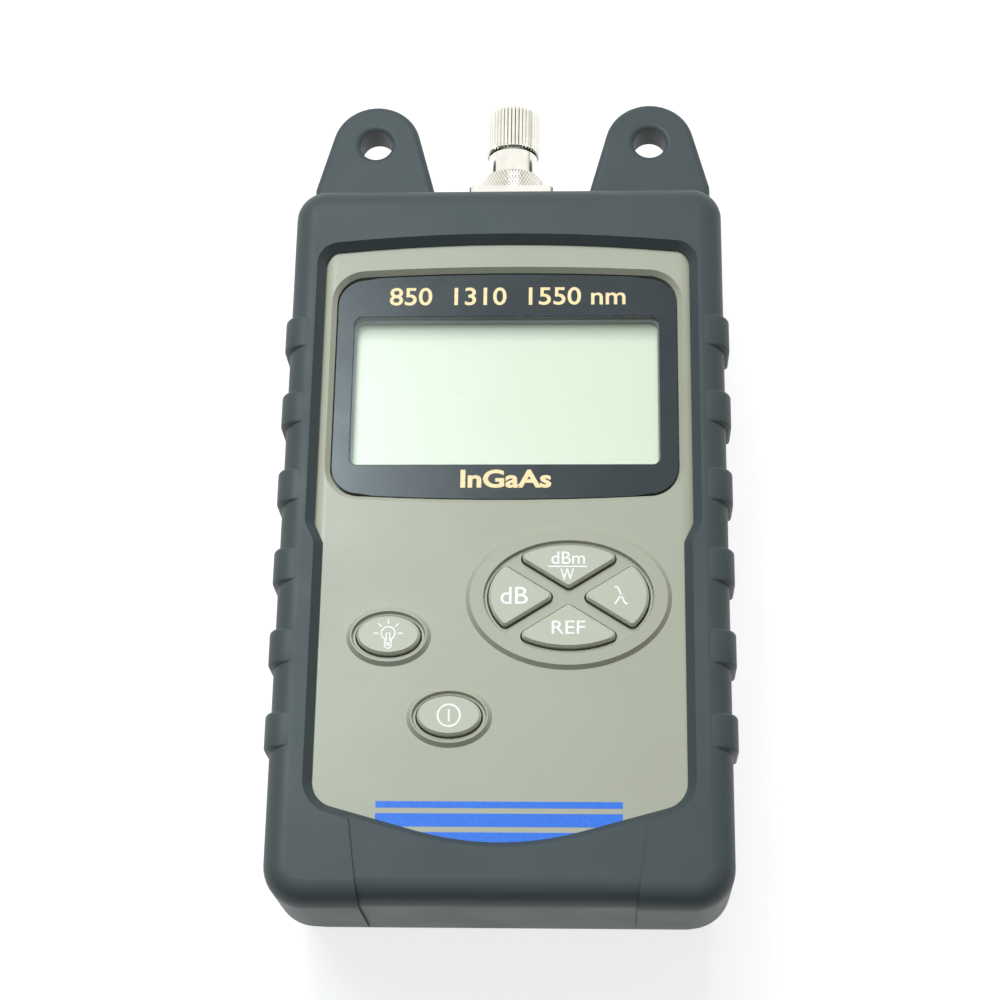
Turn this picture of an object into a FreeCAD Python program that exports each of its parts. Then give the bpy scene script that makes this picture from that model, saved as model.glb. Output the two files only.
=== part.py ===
import FreeCAD
import Part
import math
import os
import Sketcher
from FreeCAD import Vector

# A handheld optical power meter in a rubber boot, lying on its back.
# Frame: +X to the reader's right, +Y towards the port, +Z out of the front panel.
# Pieces are drawn about the middle of the boot's back, at Z = 0, and then moved along Y so
# that the origin lies under the middle of the whole meter, ears included. All in millimetres.

doc = FreeCAD.newDocument("optical_power_meter")

TINY = 1e-4

SIZES = [
    ("overcut", 1.0, "how far a cutting tool passes the face that it cuts"),
    # boot
    ("boot_width", 76.8, "width of the boot between its grip pads"),
    ("boot_length", 130.4, "length of the boot without its ears"),
    ("boot_front", 40.5, "height of the boot's front face"),
    ("boot_middle", 20.5, "height of the boot's widest line"),
    ("boot_taper", 5.0, "draft of the boot's back half, degrees"),
    ("boot_lean", 4.5, "further draft of its bottom end, taken off its top end, degrees"),
    ("boot_top_corner", 5.5, "plan radius of the corners beside the ears"),
    ("boot_low_corner", 7.0, "plan radius of the corners at the bottom end"),
    ("boot_edge", 4.0, "rounding of the front and back outer edges"),
    ("boot_fit", 0.1, "clearance between the boot and the case"),
    ("band_step", 0.5, "how far the middle of the bottom end is set back"),
    ("band_top_x", 24.9, "half width of the set-back band at the window"),
    ("band_low_x", 22.5, "half width of the set-back band at the bottom end"),
    ("band_top_y", -48.0, "where the set-back band starts"),
    # window in the front of the boot
    ("window_top", 53.7, "top edge of the window at the middle"),
    ("window_crown", 1.8, "how far the window's top edge bows"),
    ("window_upper_inset", 2.05, "distance of the window's sides from the case's beside the display"),
    ("window_lower_inset", 3.7, "distance of the window's sides from the case's beside the keys"),
    ("window_step_high", 0.5, "upper end of the window's side steps"),
    ("window_step_low", -3.0, "lower end of the window's side steps"),
    ("window_shoulder", -48.0, "lower end of the window's straight sides"),
    ("window_point", -56.6, "where the two sloping lower edges would meet"),
    ("window_chin", 50.0, "radius that rounds the sloping edges into one curve"),
    ("window_corner", 2.6, "radius of the window's upper corners"),
    ("window_low_corner", 4.5, "radius of the window's lower corners"),
    ("window_step_round", 1.6, "radius in the window's side steps"),
    ("lip_chamfer", 1.4, "chamfer round the front of the window"),
    ("back_window_inset", 9.4, "distance of the back window from the boot's sides"),
    ("back_window_y", 55.0, "half length of the window in the back"),
    ("back_window_corner", 6.0, "radius of the back window's corners"),
    # ears
    ("ear_inset", 12.4, "distance of each ear's hole from the boot's side"),
    ("ear_y", 82.8, "place of the ear holes along the meter"),
    ("ear_round", 8.4, "radius of the ears' tops"),
    ("ear_flare", 15.0, "slope of the ears' sides, degrees"),
    ("ear_low", 17.6, "height of the ears' back face"),
    ("ear_thickness", 6.7, "thickness of the ears"),
    ("ear_hole", 3.15, "radius of the ear holes"),
    ("ear_edge", 1.2, "rounding of the ears' edges"),
    ("ear_lip", 0.4, "chamfer of the ear holes"),
    # grip pads
    ("pad_count", 6, "pads on each side"),
    ("pad_first", 32.9, "lower end of the pad nearest the port"),
    ("pad_pitch", 14.47, "spacing of the pads"),
    ("pad_length", 6.5, "length of each pad"),
    ("pad_rise", 1.0, "how far the pads stand out"),
    ("pad_low", 27.5, "height where the pads run out"),
    ("pad_run_out", 2.5, "length of the slope where the pads run out"),
    ("pad_front", 39.5, "height of the pads' front"),
    ("pad_edge", 0.8, "rounding of the pads' ends"),
    # case
    ("boot_side", 3.9, "thickness of the boot's sides at its widest line"),
    ("case_length", 122.0, "length of the case without its nose"),
    ("case_front", 38.8, "height of the front panel"),
    ("case_back", 1.8, "height of the case's back"),
    ("case_corner", 5.0, "plan radius of the case's corners"),
    ("case_edge", 4.0, "rounding of the case's front and back edges"),
    ("case_wall", 2.2, "wall of the case"),
    ("case_split", 20.3, "height of the joint between the two halves"),
    ("nose_half", 8.3, "half width of the nose round the port"),
    ("nose_end", 69.6, "end of the nose"),
    ("nose_round", 1.5, "rounding of the nose's long edges"),
    ("nose_gap", 0.4, "clearance between the nose and the boot"),
    # display
    ("lens_inset", 4.4, "distance of the display window from the case's sides"),
    ("lens_low", 6.2, "lower side corners of the display window"),
    ("lens_high", 47.3, "upper side corners of the display window"),
    ("lens_crown", 1.0, "how far the window's long edges bow"),
    ("lens_corner", 5.0, "corner radius of the display window"),
    ("lens_thickness", 1.2, "thickness of the display window"),
    ("lens_sink", 0.9, "how far the window lies below the panel"),
    ("lens_gap", 0.15, "clearance round the window"),
    ("lens_chamfer", 0.85, "chamfer round the window's recess"),
    ("view_inset", 3.1, "distance of the opening for the display from the window's sides"),
    ("view_low", 11.7, "lower edge of the opening for the display"),
    ("view_high", 39.9, "upper edge of the opening for the display"),
    ("view_corner", 0.8, "corner radius of the opening for the display"),
    ("frame_depth", 1.7, "thickness of the ledge under the window"),
    ("frame_margin", 1.5, "how far that ledge reaches past the window"),
    ("glass_inset", 1.1, "distance of the display glass from the window's sides"),
    ("glass_low", 7.2, "lower edge of the display glass"),
    ("glass_high", 43.4, "upper edge of the display glass"),
    ("glass_thickness", 1.9, "thickness of the display glass"),
    ("glass_gap", 0.1, "clearance between the ledge and the display glass"),
    ("light_inset", 1.0, "how far the light panel lies inside the glass"),
    ("strip_width", 2.2, "width of the contact strip"),
    ("strip_inset", 0.6, "distance of the contact strip from the glass's edge"),
    # four keys in an oval
    ("cluster_inset", 19.55, "distance of the four keys' centre from the boot's window"),
    ("cluster_y", -12.85, "centre of the four keys"),
    ("cluster_a", 13.8, "half length of the oval of four keys"),
    ("cluster_b", 9.4, "half width of the oval of four keys"),
    ("cluster_rim_a", 17.4, "half length of the raised rim"),
    ("cluster_rim_b", 12.7, "half width of the raised rim"),
    ("bar_width", 1.7, "width of the bars between the keys"),
    ("bar_angle", 32.5, "slope of those bars, degrees"),
    ("key_round", 0.9, "corner radius of the four keys"),
    # two oval keys
    ("light_key_x", -18.95, "centre of the light key"),
    ("light_key_y", -19.8, "centre of the light key"),
    ("power_key_x", -8.45, "centre of the power key"),
    ("power_key_y", -33.7, "centre of the power key"),
    ("oval_a", 5.65, "half length of the oval keys' openings"),
    ("oval_b", 3.7, "half width of the oval keys' openings"),
    ("oval_rim_a", 7.15, "half length of their raised rims"),
    ("oval_rim_b", 5.25, "half width of their raised rims"),
    # all keys
    ("rim_height", 0.7, "height of the raised rims"),
    ("rim_slope", 0.7, "width of the rims' outer slopes"),
    ("rim_inset", 0.25, "width of the rims' inner slopes"),
    ("rim_land", 0.35, "ledge between a rim and the opening inside it"),
    ("key_gap", 0.3, "clearance round the keys"),
    ("key_rise", 1.1, "how far the keys stand out of the panel"),
    ("key_edge", 0.4, "chamfer of the keys' tops"),
    ("key_travel", 0.8, "travel of the keys"),
    ("key_stop_gap", 0.3, "clearance left under a pressed key"),
    ("flange_reach", 0.4, "how far a key's flange reaches past its opening"),
    ("flange_thickness", 1.4, "thickness of the keys' flanges"),
    ("mat_thickness", 0.8, "thickness of the rubber mat under the keys"),
    ("mat_margin", 2.0, "how far the mat reaches past the keys"),
    ("dome_height", 1.0, "height of the mat's domes"),
    ("dome_radius", 2.6, "radius of the mat's domes at their foot"),
    ("dome_top", 1.7, "radius of the mat's domes at their top"),
    # board
    ("board_top", 31.0, "height of the board's upper face"),
    ("board_thickness", 1.6, "thickness of the board"),
    ("board_inset", 5.0, "distance of the board from the case's sides"),
    ("board_y", 50.0, "half length of the board"),
    ("board_screw_inset", 3.2, "distance of the board's screws from its sides"),
    ("board_screw_y", 47.0, "place of the board's screws"),
    ("board_boss", 2.4, "radius of the bosses that hold the board"),
    ("shield_x", 12.0, "half width of the amplifier's shield"),
    ("shield_low", 30.0, "lower edge of the amplifier's shield"),
    ("shield_high", 47.0, "upper edge of the amplifier's shield"),
    ("shield_depth", 2.8, "depth of the amplifier's shield"),
    # screws
    ("screw_shank", 1.0, "radius of the board's screws"),
    ("screw_head", 2.1, "radius of the board screws' heads"),
    ("screw_head_depth", 1.3, "thickness of the board screws' heads"),
    ("screw_bite", 3.2, "how far the board's screws enter their bosses"),
    ("case_screw_inset", 5.9, "distance of the case's screws from its sides"),
    ("case_screw_y", 54.6, "place of the case's screws"),
    ("case_boss", 3.0, "radius of the bosses for the case's screws"),
    ("case_shank", 1.4, "radius of the case's screws"),
    ("case_head", 2.3, "radius of the case screws' heads"),
    ("case_head_seat", 6.0, "depth of the seats for the case screws' heads"),
    ("case_head_depth", 1.8, "thickness of the case screws' heads"),
    ("case_bite", 10.0, "how far the case's screws enter the front half"),
    ("thread_gap", 0.05, "clearance round a screw in its boss"),
    ("hole_gap", 0.2, "clearance round a screw in a through hole"),
    # batteries and their door
    ("cell_radius", 7.1, "radius of a battery"),
    ("cell_length", 49.2, "length of a battery without its tip"),
    ("cell_pitch", 14.9, "spacing of the batteries"),
    ("cell_tip_radius", 2.6, "radius of a battery's tip"),
    ("cell_tip", 1.2, "length of a battery's tip"),
    ("cell_lift", 0.6, "clearance between the door and the batteries"),
    ("cell_edge", 0.5, "chamfer of a battery's ends"),
    ("bay_side_gap", 0.5, "clearance beside the batteries"),
    ("bay_inset", 11.0, "distance of the battery bay from the case's bottom end"),
    ("bay_wall", 1.2, "wall of the battery bay"),
    ("spring_length", 3.0, "length of a battery spring"),
    ("spring_foot", 3.4, "radius of a battery spring at its foot"),
    ("spring_top", 1.8, "radius of a battery spring at its top"),
    ("plate_thickness", 0.4, "thickness of the contact plates"),
    ("plate_half", 5.0, "half width of each contact plate"),
    ("door_thickness", 2.2, "thickness of the battery door"),
    ("door_gap", 0.25, "clearance round the battery door"),
    ("door_corner", 2.0, "corner radius of the battery door"),
    ("tab_width", 5.0, "width of the door's tabs"),
    ("tab_reach", 1.6, "how far the door's tabs reach past its edge"),
    ("tab_root", 1.4, "how far the door's tabs reach in from the end of the bay"),
    ("tab_thickness", 0.9, "thickness of the door's tabs"),
    ("tab_gap", 0.3, "clearance round the door's tabs"),
    ("tab_swing", 3.0, "room above the tabs for the door's swing"),
    ("notch_radius", 6.0, "radius of the door's finger notch"),
    ("notch_depth", 0.9, "depth of the door's finger notch"),
    # port
    ("port_height", 20.3, "height of the port's axis"),
    ("barrel_radius", 5.8, "radius of the port's barrel inside the nose"),
    ("barrel_start", 54.6, "inner end of the port's barrel"),
    ("barrel_gap", 0.2, "clearance round the barrel"),
    ("plate_side", 15.8, "side of the port's square plate"),
    ("plate_depth", 2.0, "thickness of the port's square plate"),
    ("plate_corner", 1.6, "corner radius of the port's square plate"),
    ("boss_radius", 4.9, "radius of the threaded boss"),
    ("boss_length", 3.0, "length of the threaded boss"),
    ("port_bore", 2.35, "radius of the bore for the ferrule sleeve"),
    ("diode_bore", 3.0, "radius of the bore for the photodiode"),
    ("diode_seat", 68.2, "where the photodiode's window stands"),
    ("lock_nut_radius", 7.6, "radius of the nut inside the case"),
    ("lock_nut_depth", 2.6, "thickness of the nut inside the case"),
    ("diode_can", 2.35, "radius of the photodiode's can"),
    ("diode_can_length", 3.0, "length of the photodiode's can"),
    ("diode_foot", 2.8, "radius of the photodiode's header"),
    ("diode_foot_depth", 1.0, "thickness of the photodiode's header"),
    ("lead_radius", 0.25, "radius of the photodiode's leads"),
    ("lead_length", 8.0, "length of the photodiode's leads"),
    ("lead_offset", 1.27, "distance of the leads from the axis"),
    # adapter, its nut and the dust cap
    ("collar_radius", 5.05, "radius of the adapter's captive collar"),
    ("collar_depth", 0.9, "thickness of the adapter's captive collar"),
    ("neck_radius", 4.6, "radius of the adapter's neck"),
    ("neck_end", 81.35, "end of the adapter's neck"),
    ("sleeve_radius", 4.0, "radius of the adapter's threaded sleeve"),
    ("sleeve_end", 88.4, "end of the adapter's threaded sleeve"),
    ("sleeve_chamfer", 0.3, "chamfer of the adapter's threaded sleeve"),
    ("ferrule_outer", 2.0, "outer radius of the ferrule sleeve"),
    ("ferrule_inner", 1.26, "inner radius of the ferrule sleeve"),
    ("ferrule_start", 70.4, "inner end of the ferrule sleeve"),
    ("ferrule_inset", 0.8, "how far the ferrule sleeve stops short of the adapter's end"),
    ("ferrule_gap", 0.05, "clearance round the ferrule sleeve"),
    ("slot_width", 2.2, "width of the adapter's key slot"),
    ("slot_depth", 3.4, "length of the adapter's key slot"),
    ("ring_radius", 5.7, "radius of the knurled nut"),
    ("ring_gap", 0.15, "clearance between the knurled nut and what it turns on"),
    ("ring_end", 76.7, "end of the knurled nut"),
    ("thread_clearance", 0.3, "clearance between two plain threads"),
    ("ring_chamfer", 0.35, "chamfer of the knurled nut"),
    ("cap_radius", 5.05, "radius of the dust cap"),
    ("cap_start", 81.65, "open end of the dust cap"),
    ("cap_end", 90.7, "closed end of the dust cap"),
    ("cap_roof", 1.1, "thickness of the dust cap's end"),
    ("cap_chamfer", 0.6, "chamfer of the dust cap"),
    ("serration_count", 40, "serrations round the dust cap"),
    ("serration_depth", 0.24, "depth of each serration"),
    ("serration_width", 0.5, "width of each serration at the cap's surface"),
    ("seal_gap", 0.2, "clearance between the seal and the adapter's end"),
    ("seal_side_gap", 0.2, "clearance round the seal"),
]


class Size:
    """A number together with the spreadsheet expression that gives it."""

    def __init__(self, value, text):
        self.value = value
        self.text = text

    def joined(self, sign, other, value):
        """Return the result of an operation with another size or number."""
        return Size(value, f"({self.text} {sign} {as_size(other).text})")

    def __add__(self, other):
        return self.joined("+", other, self.value + as_size(other).value)

    def __radd__(self, other):
        return as_size(other) + self

    def __sub__(self, other):
        return self.joined("-", other, self.value - as_size(other).value)

    def __rsub__(self, other):
        return as_size(other) - self

    def __mul__(self, other):
        return self.joined("*", other, self.value * as_size(other).value)

    def __truediv__(self, other):
        return self.joined("/", other, self.value / as_size(other).value)

    def __neg__(self):
        return as_size(0.0) - self


class Sizes:
    """The driving sizes, each an attribute named as its spreadsheet alias."""


def as_size(number):
    """Return the number as a Size."""
    if isinstance(number, Size):
        return number
    return Size(float(number), f"({float(number)})")


def tangent(angle):
    """Return the tangent of an angle given in degrees."""
    return Size(math.tan(math.radians(angle.value)), f"tan({angle.text} * 1 deg)")


def sine(angle):
    """Return the sine of an angle given in degrees."""
    return Size(math.sin(math.radians(angle.value)), f"sin({angle.text} * 1 deg)")


def cosine(angle):
    """Return the cosine of an angle given in degrees."""
    return Size(math.cos(math.radians(angle.value)), f"cos({angle.text} * 1 deg)")


def read_sizes():
    """Fill the spreadsheet and return its cells as sizes."""
    sheet = doc.addObject("Spreadsheet::Sheet", "dims")
    sizes = Sizes()
    for row, (alias, value, meaning) in enumerate(SIZES, start=1):
        sheet.set(f"A{row}", alias)
        sheet.set(f"B{row}", str(value))
        sheet.set(f"C{row}", meaning)
        sheet.setAlias(f"B{row}", alias)
        setattr(sizes, alias, Size(float(value), f"dims.{alias}"))
    doc.recompute()
    return sizes


d = read_sizes()


# ---------------------------------------------------------------- sketches and features

def body(name):
    """Start a body."""
    return doc.addObject("PartDesign::Body", name)


def bind(item, target, length):
    """Tie a property, named as in FreeCAD, to a size or a number."""
    item.setExpression(target, as_size(length).text)


def sketch(owner, role="XY_Plane", offset=0.0, lift=None):
    """Start a sketch on one of the body's own planes, moved along its normal by offset.

    lift moves the sketch's origin up the plane, which puts a turned piece on its axis.
    """
    plane = next(item for item in owner.Origin.OriginFeatures if item.Role == role)
    item = owner.newObject("Sketcher::SketchObject", f"{owner.Name}_sketch")
    item.AttachmentSupport = [(plane, "")]
    item.MapMode = "FlatFace"
    bind(item, ".AttachmentOffset.Base.z", offset)
    if lift is not None:
        bind(item, ".AttachmentOffset.Base.y", lift)
    return item


def hold(item, kind, geometry, length):
    """Add a dimension such as a radius to a sketch and tie it to a size."""
    number = item.addConstraint(Sketcher.Constraint(kind, geometry, as_size(length).value))
    bind(item, f"Constraints[{number}]", length)


def hold_point(item, geometry, end, x, y):
    """Fix one point of a sketch at x, y from the sketch's origin."""
    for kind, axis, length in (("DistanceX", -2, as_size(x)), ("DistanceY", -1, as_size(y))):
        if length.text == as_size(0.0).text:
            item.addConstraint(Sketcher.Constraint("PointOnObject", geometry, end, axis))
        else:
            number = item.addConstraint(
                Sketcher.Constraint(kind, -1, 1, geometry, end, length.value))
            bind(item, f"Constraints[{number}]", length)


def outline(item, points):
    """Draw a closed outline, counterclockwise.

    A point is (x, y), reached by a straight line, or (x, y, radius), reached by an arc of
    that radius that bows outwards.
    """
    corners = [Vector(as_size(point[0]).value, as_size(point[1]).value, 0) for point in points]
    drawn = []
    for number, point in enumerate(points):
        start, end = corners[number - 1], corners[number]
        curve = Part.LineSegment(start, end)
        if len(point) == 3:
            chord = end - start
            radius = as_size(point[2]).value
            bow = radius - math.sqrt(radius ** 2 - (chord.Length / 2) ** 2)
            outward = Vector(chord.y, -chord.x, 0).normalize()
            curve = Part.Arc(start, (start + end) * 0.5 + outward * bow, end)
        drawn.append(item.addGeometry(curve, False))
    for number, point in enumerate(points):
        near, following = drawn[number], drawn[(number + 1) % len(points)]
        near_end = end_at(item, near, corners[number])
        next_end = end_at(item, following, corners[number])
        item.addConstraint(Sketcher.Constraint("Coincident", near, near_end, following, next_end))
        hold_point(item, near, near_end, point[0], point[1])
    for geometry, point in zip(drawn, points):
        if len(point) == 3:
            hold(item, "Radius", geometry, point[2])


def end_at(item, geometry, corner):
    """Return which end of a drawn line or arc lies at the corner: 1 or 2."""
    return 1 if item.getPoint(geometry, 1).distanceToPoint(corner) < TINY else 2


def rectangle(left, low, right, high):
    """Return the four corners of a rectangle, counterclockwise."""
    return [(left, low), (right, low), (right, high), (left, high)]


def centred(half_x, half_y):
    """Return the four corners of a rectangle about the origin."""
    return rectangle(-half_x, -half_y, half_x, half_y)


def circle(item, x, y, radius):
    """Draw a circle."""
    centre = Vector(as_size(x).value, as_size(y).value, 0)
    number = item.addGeometry(Part.Circle(centre, Vector(0, 0, 1), as_size(radius).value), False)
    hold_point(item, number, 3, x, y)
    hold(item, "Radius", number, radius)


def ellipse(item, x, y, half_long, half_short):
    """Draw an ellipse whose long axis runs along the sketch's x."""
    centre = Vector(as_size(x).value, as_size(y).value, 0)
    long_end = centre + Vector(as_size(half_long).value, 0, 0)
    short_end = centre + Vector(0, as_size(half_short).value, 0)
    number = item.addGeometry(Part.Ellipse(long_end, short_end, centre), False)
    item.exposeInternalGeometry(number)
    hold_point(item, number, 3, x, y)
    hold(item, "Distance", number + 1, as_size(half_long) * 2)
    hold(item, "Distance", number + 2, as_size(half_short) * 2)
    item.addConstraint(Sketcher.Constraint("Horizontal", number + 1))


def pad(owner, profile, length, backwards=False, taper=None):
    """Pad a sketch along its normal, or against it."""
    item = owner.newObject("PartDesign::Pad", f"{owner.Name}_pad")
    item.Profile = profile
    item.Reversed = backwards
    bind(item, "Length", length)
    if taper is not None:
        bind(item, "TaperAngle", taper)
    return item


def pocket(owner, profile, length, forwards=False):
    """Cut a sketch against its normal, or along it, and make sure that something was cut."""
    doc.recompute()
    before = owner.Tip.Shape.Volume
    item = owner.newObject("PartDesign::Pocket", f"{owner.Name}_pocket")
    item.Profile = profile
    item.Reversed = forwards
    bind(item, "Length", length)
    doc.recompute()
    if item.Shape.Volume > before - TINY:
        raise RuntimeError(f"{item.Name} cuts nothing")
    return item


def loft(owner, low_profile, high_profile):
    """Join two sketches with straight sides."""
    item = owner.newObject("PartDesign::AdditiveLoft", f"{owner.Name}_loft")
    item.Profile = low_profile
    item.Sections = [high_profile]
    item.Ruled = True
    return item


def spin(owner, profile):
    """Turn a sketch about its own x axis."""
    item = owner.newObject("PartDesign::Revolution", f"{owner.Name}_turned")
    item.Profile = profile
    item.ReferenceAxis = (profile, ["H_Axis"])
    item.Angle = 360.0
    return item


def ease(owner, kind, radius, pick):
    """Fillet or chamfer the picked edges of a body's latest feature."""
    doc.recompute()
    base = owner.Tip
    names = [f"Edge{number}" for number, edge in enumerate(base.Shape.Edges, start=1) if pick(edge)]
    if not names:
        raise RuntimeError(f"{owner.Name} has no edge to {kind.lower()}")
    item = owner.newObject(f"PartDesign::{kind}", f"{owner.Name}_{kind.lower()}")
    item.Base = (base, names)
    bind(item, "Radius" if kind == "Fillet" else "Size", radius)
    return item


def fillet(owner, radius, pick):
    """Round the picked edges."""
    return ease(owner, "Fillet", radius, pick)


def chamfer(owner, size, pick):
    """Bevel the picked edges."""
    return ease(owner, "Chamfer", size, pick)


def along(edge):
    """Return points at the start, middle and end of an edge."""
    first, last = edge.ParameterRange
    return [edge.valueAt(first + (last - first) * share) for share in (0.0, 0.5, 1.0)]


def upright(edge):
    """Say whether an edge is straight and runs along Z."""
    start, middle, end = along(edge)
    return abs(start.x - end.x) + abs(start.y - end.y) < TINY and abs(start.z - end.z) > TINY


def running(axis):
    """Return a test for edges whose ends lie at different places along an axis."""
    return lambda edge: abs(getattr(along(edge)[0], axis) - getattr(along(edge)[2], axis)) > TINY


def at(axis, *places):
    """Return a test for edges that lie in one of the planes across an axis."""
    levels = [as_size(place).value for place in places]

    def test(edge):
        values = [getattr(point, axis) for point in along(edge)]
        return any(all(abs(value - level) < TINY for value in values) for level in levels)
    return test


def within(left, low, right, high):
    """Return a test for edges that lie inside a rectangle of the plan."""
    sides = [as_size(side).value for side in (left, low, right, high)]

    def test(edge):
        return all(sides[0] - TINY < point.x < sides[2] + TINY
                   and sides[1] - TINY < point.y < sides[3] + TINY for point in along(edge))
    return test


def both(*tests):
    """Return a test for edges that pass every given test."""
    return lambda edge: all(test(edge) for test in tests)


def join(name, *items):
    """Fuse several objects."""
    item = doc.addObject("Part::MultiFuse", name)
    item.Shapes = list(items)
    item.Refine = True
    return item


def cut(name, base, *tools):
    """Cut one or more objects out of another."""
    item = doc.addObject("Part::Cut", name)
    item.Base = base
    item.Tool = tools[0] if len(tools) == 1 else join(f"{name}_tools", *tools)
    item.Refine = True
    return item


def overlap(name, first, second):
    """Keep what two objects share."""
    item = doc.addObject("Part::Common", name)
    item.Base = first
    item.Tool = second
    item.Refine = True
    return item


def group(name, items):
    """Gather separate pieces that share one name."""
    item = doc.addObject("Part::Compound", name)
    item.Links = items
    return item


def finish(name, rough):
    """Start a body on a finished boolean, so that its edges can be eased."""
    item = body(name)
    item.BaseFeature = rough
    doc.recompute()
    return item


# ---------------------------------------------------------------- plain forms

def block(name, left, low, right, high, bottom, top, corner=None):
    """A block between two heights, its upright edges rounded if a corner is given."""
    owner = body(name)
    profile = sketch(owner, offset=bottom)
    outline(profile, rectangle(left, low, right, high))
    pad(owner, profile, as_size(top) - bottom)
    if corner is not None:
        fillet(owner, corner, upright)
    return owner


def post(name, x, y, radius, bottom, top):
    """A round post between two heights."""
    owner = body(name)
    profile = sketch(owner, offset=bottom)
    circle(profile, x, y, radius)
    pad(owner, profile, as_size(top) - bottom)
    return owner


def oval(name, x, y, half_long, half_short, bottom, top):
    """An oval block between two heights."""
    owner = body(name)
    profile = sketch(owner, offset=bottom)
    ellipse(profile, x, y, half_long, half_short)
    pad(owner, profile, as_size(top) - bottom)
    return owner


def turned(name, points, x=0.0, height=None):
    """A piece turned about a line along Y; the points are (place along Y, radius)."""
    owner = body(name)
    profile = sketch(owner, "YZ_Plane", offset=x, lift=d.port_height if height is None else height)
    outline(profile, points)
    spin(owner, profile)
    return owner


def upright_turned(name, x, y, points):
    """A piece turned about an upright line; the points are (height, radius)."""
    owner = body(name)
    for (bottom, radius), (top, _) in zip(points, points[1:]):
        profile = sketch(owner, offset=bottom)
        circle(profile, x, y, radius)
        pad(owner, profile, as_size(top) - bottom)
    return owner


def four_corners(x, y):
    """Return the four places at plus and minus x and y."""
    return [(x, y), (-x, y), (-x, -y), (x, -y)]


# ---------------------------------------------------------------- widths that follow the boot's

case_width = d.boot_width - d.boot_side * 2
window_upper_x = case_width / 2 - d.window_upper_inset
window_lower_x = case_width / 2 - d.window_lower_inset
back_window_x = d.boot_width / 2 - d.back_window_inset
ear_x = d.boot_width / 2 - d.ear_inset
lens_width = case_width - d.lens_inset * 2
view_x = lens_width / 2 - d.view_inset
glass_x = lens_width / 2 - d.glass_inset
cluster_x = window_lower_x - d.cluster_inset
board_x = case_width / 2 - d.board_inset
board_screw_x = board_x - d.board_screw_inset
case_screw_x = case_width / 2 - d.case_screw_inset


# ---------------------------------------------------------------- case

panel_inside = d.case_front - d.case_wall
lens_top = d.case_front - d.lens_sink
lens_bottom = lens_top - d.lens_thickness
ledge_bottom = lens_bottom - d.frame_depth
glass_top = ledge_bottom - d.glass_gap
glass_bottom = glass_top - d.glass_thickness
key_top = d.case_front + d.key_rise
mat_top = d.board_top + d.mat_thickness
dome_crest = mat_top + d.dome_height
key_foot = dome_crest + d.key_travel + d.key_stop_gap
flange_top = panel_inside - d.key_stop_gap
board_bottom = d.board_top - d.board_thickness

bay_x = d.cell_pitch + d.cell_radius + d.bay_side_gap
cell_axis = d.case_back + d.door_thickness + d.cell_lift + d.cell_radius
bay_low = d.bay_inset - d.case_length / 2
bay_high = bay_low + d.plate_thickness * 2 + d.spring_length + d.cell_length + d.cell_tip
bay_ceiling = cell_axis + d.cell_radius + d.bay_side_gap


def case_block(name, gap):
    """The outside of the closed case, let out by a gap all round, or in if it is negative."""
    owner = body(name)
    profile = sketch(owner, offset=d.case_back - gap)
    outline(profile, centred(case_width / 2 + gap, d.case_length / 2 + gap))
    pad(owner, profile, d.case_front - d.case_back + as_size(gap) * 2)
    fillet(owner, d.case_corner + gap, upright)
    fillet(owner, d.case_edge + gap, at("z", d.case_back - gap, d.case_front + gap))
    return owner


def nose_block(name, gap, start, end):
    """The square nose round the port."""
    owner = body(name)
    profile = sketch(owner, "XZ_Plane", offset=-as_size(start))
    half = d.nose_half + gap
    outline(profile, rectangle(-half, d.port_height - half, half, d.port_height + half))
    pad(owner, profile, as_size(end) - start, backwards=True)
    fillet(owner, d.nose_round + gap, running("y"))
    return owner


def case_walls():
    """The hollow case in one piece, with the nose, before it is parted."""
    hollow = cut("case_hollow", case_block("case_outside", 0.0), case_block("case_inside", -d.case_wall))
    nose = nose_block("case_nose", 0.0, d.case_length / 2 - d.case_wall, d.nose_end)
    bore = turned("nose_bore", [
        (d.barrel_start, 0), (d.nose_end + d.overcut, 0),
        (d.nose_end + d.overcut, d.barrel_radius + d.barrel_gap),
        (d.barrel_start, d.barrel_radius + d.barrel_gap)])
    return cut("case_walls", join("case_with_nose", hollow, nose), bore)


def sector(name, side, gap, bottom, top, corner):
    """One quarter of the oval between the two crossed bars, let in by a gap."""
    owner = body(name)
    reach = d.cluster_a * 2
    half_bar = d.bar_width / 2 + gap
    across = side in ("left", "right")
    apex = half_bar / (sine(d.bar_angle) if across else cosine(d.bar_angle))
    spread = (reach - apex) * tangent(d.bar_angle) if across else (reach - apex) / tangent(d.bar_angle)
    points = {
        "right": [(apex, 0), (reach, -spread), (reach, spread)],
        "left": [(-apex, 0), (-reach, spread), (-reach, -spread)],
        "top": [(0, apex), (spread, reach), (-spread, reach)],
        "bottom": [(0, -apex), (-spread, -reach), (spread, -reach)],
    }[side]
    profile = sketch(owner, offset=bottom)
    outline(profile, [(cluster_x + x, d.cluster_y + y) for x, y in points])
    pad(owner, profile, as_size(top) - bottom)
    rest = sketch(owner, offset=top)
    ellipse(rest, cluster_x, d.cluster_y, d.cluster_a - gap, d.cluster_b - gap)
    far = reach * 3
    outline(rest, rectangle(cluster_x - far, d.cluster_y - far, cluster_x + far, d.cluster_y + far))
    pocket(owner, rest, as_size(top) - bottom)
    fillet(owner, corner, upright)
    return owner


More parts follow.
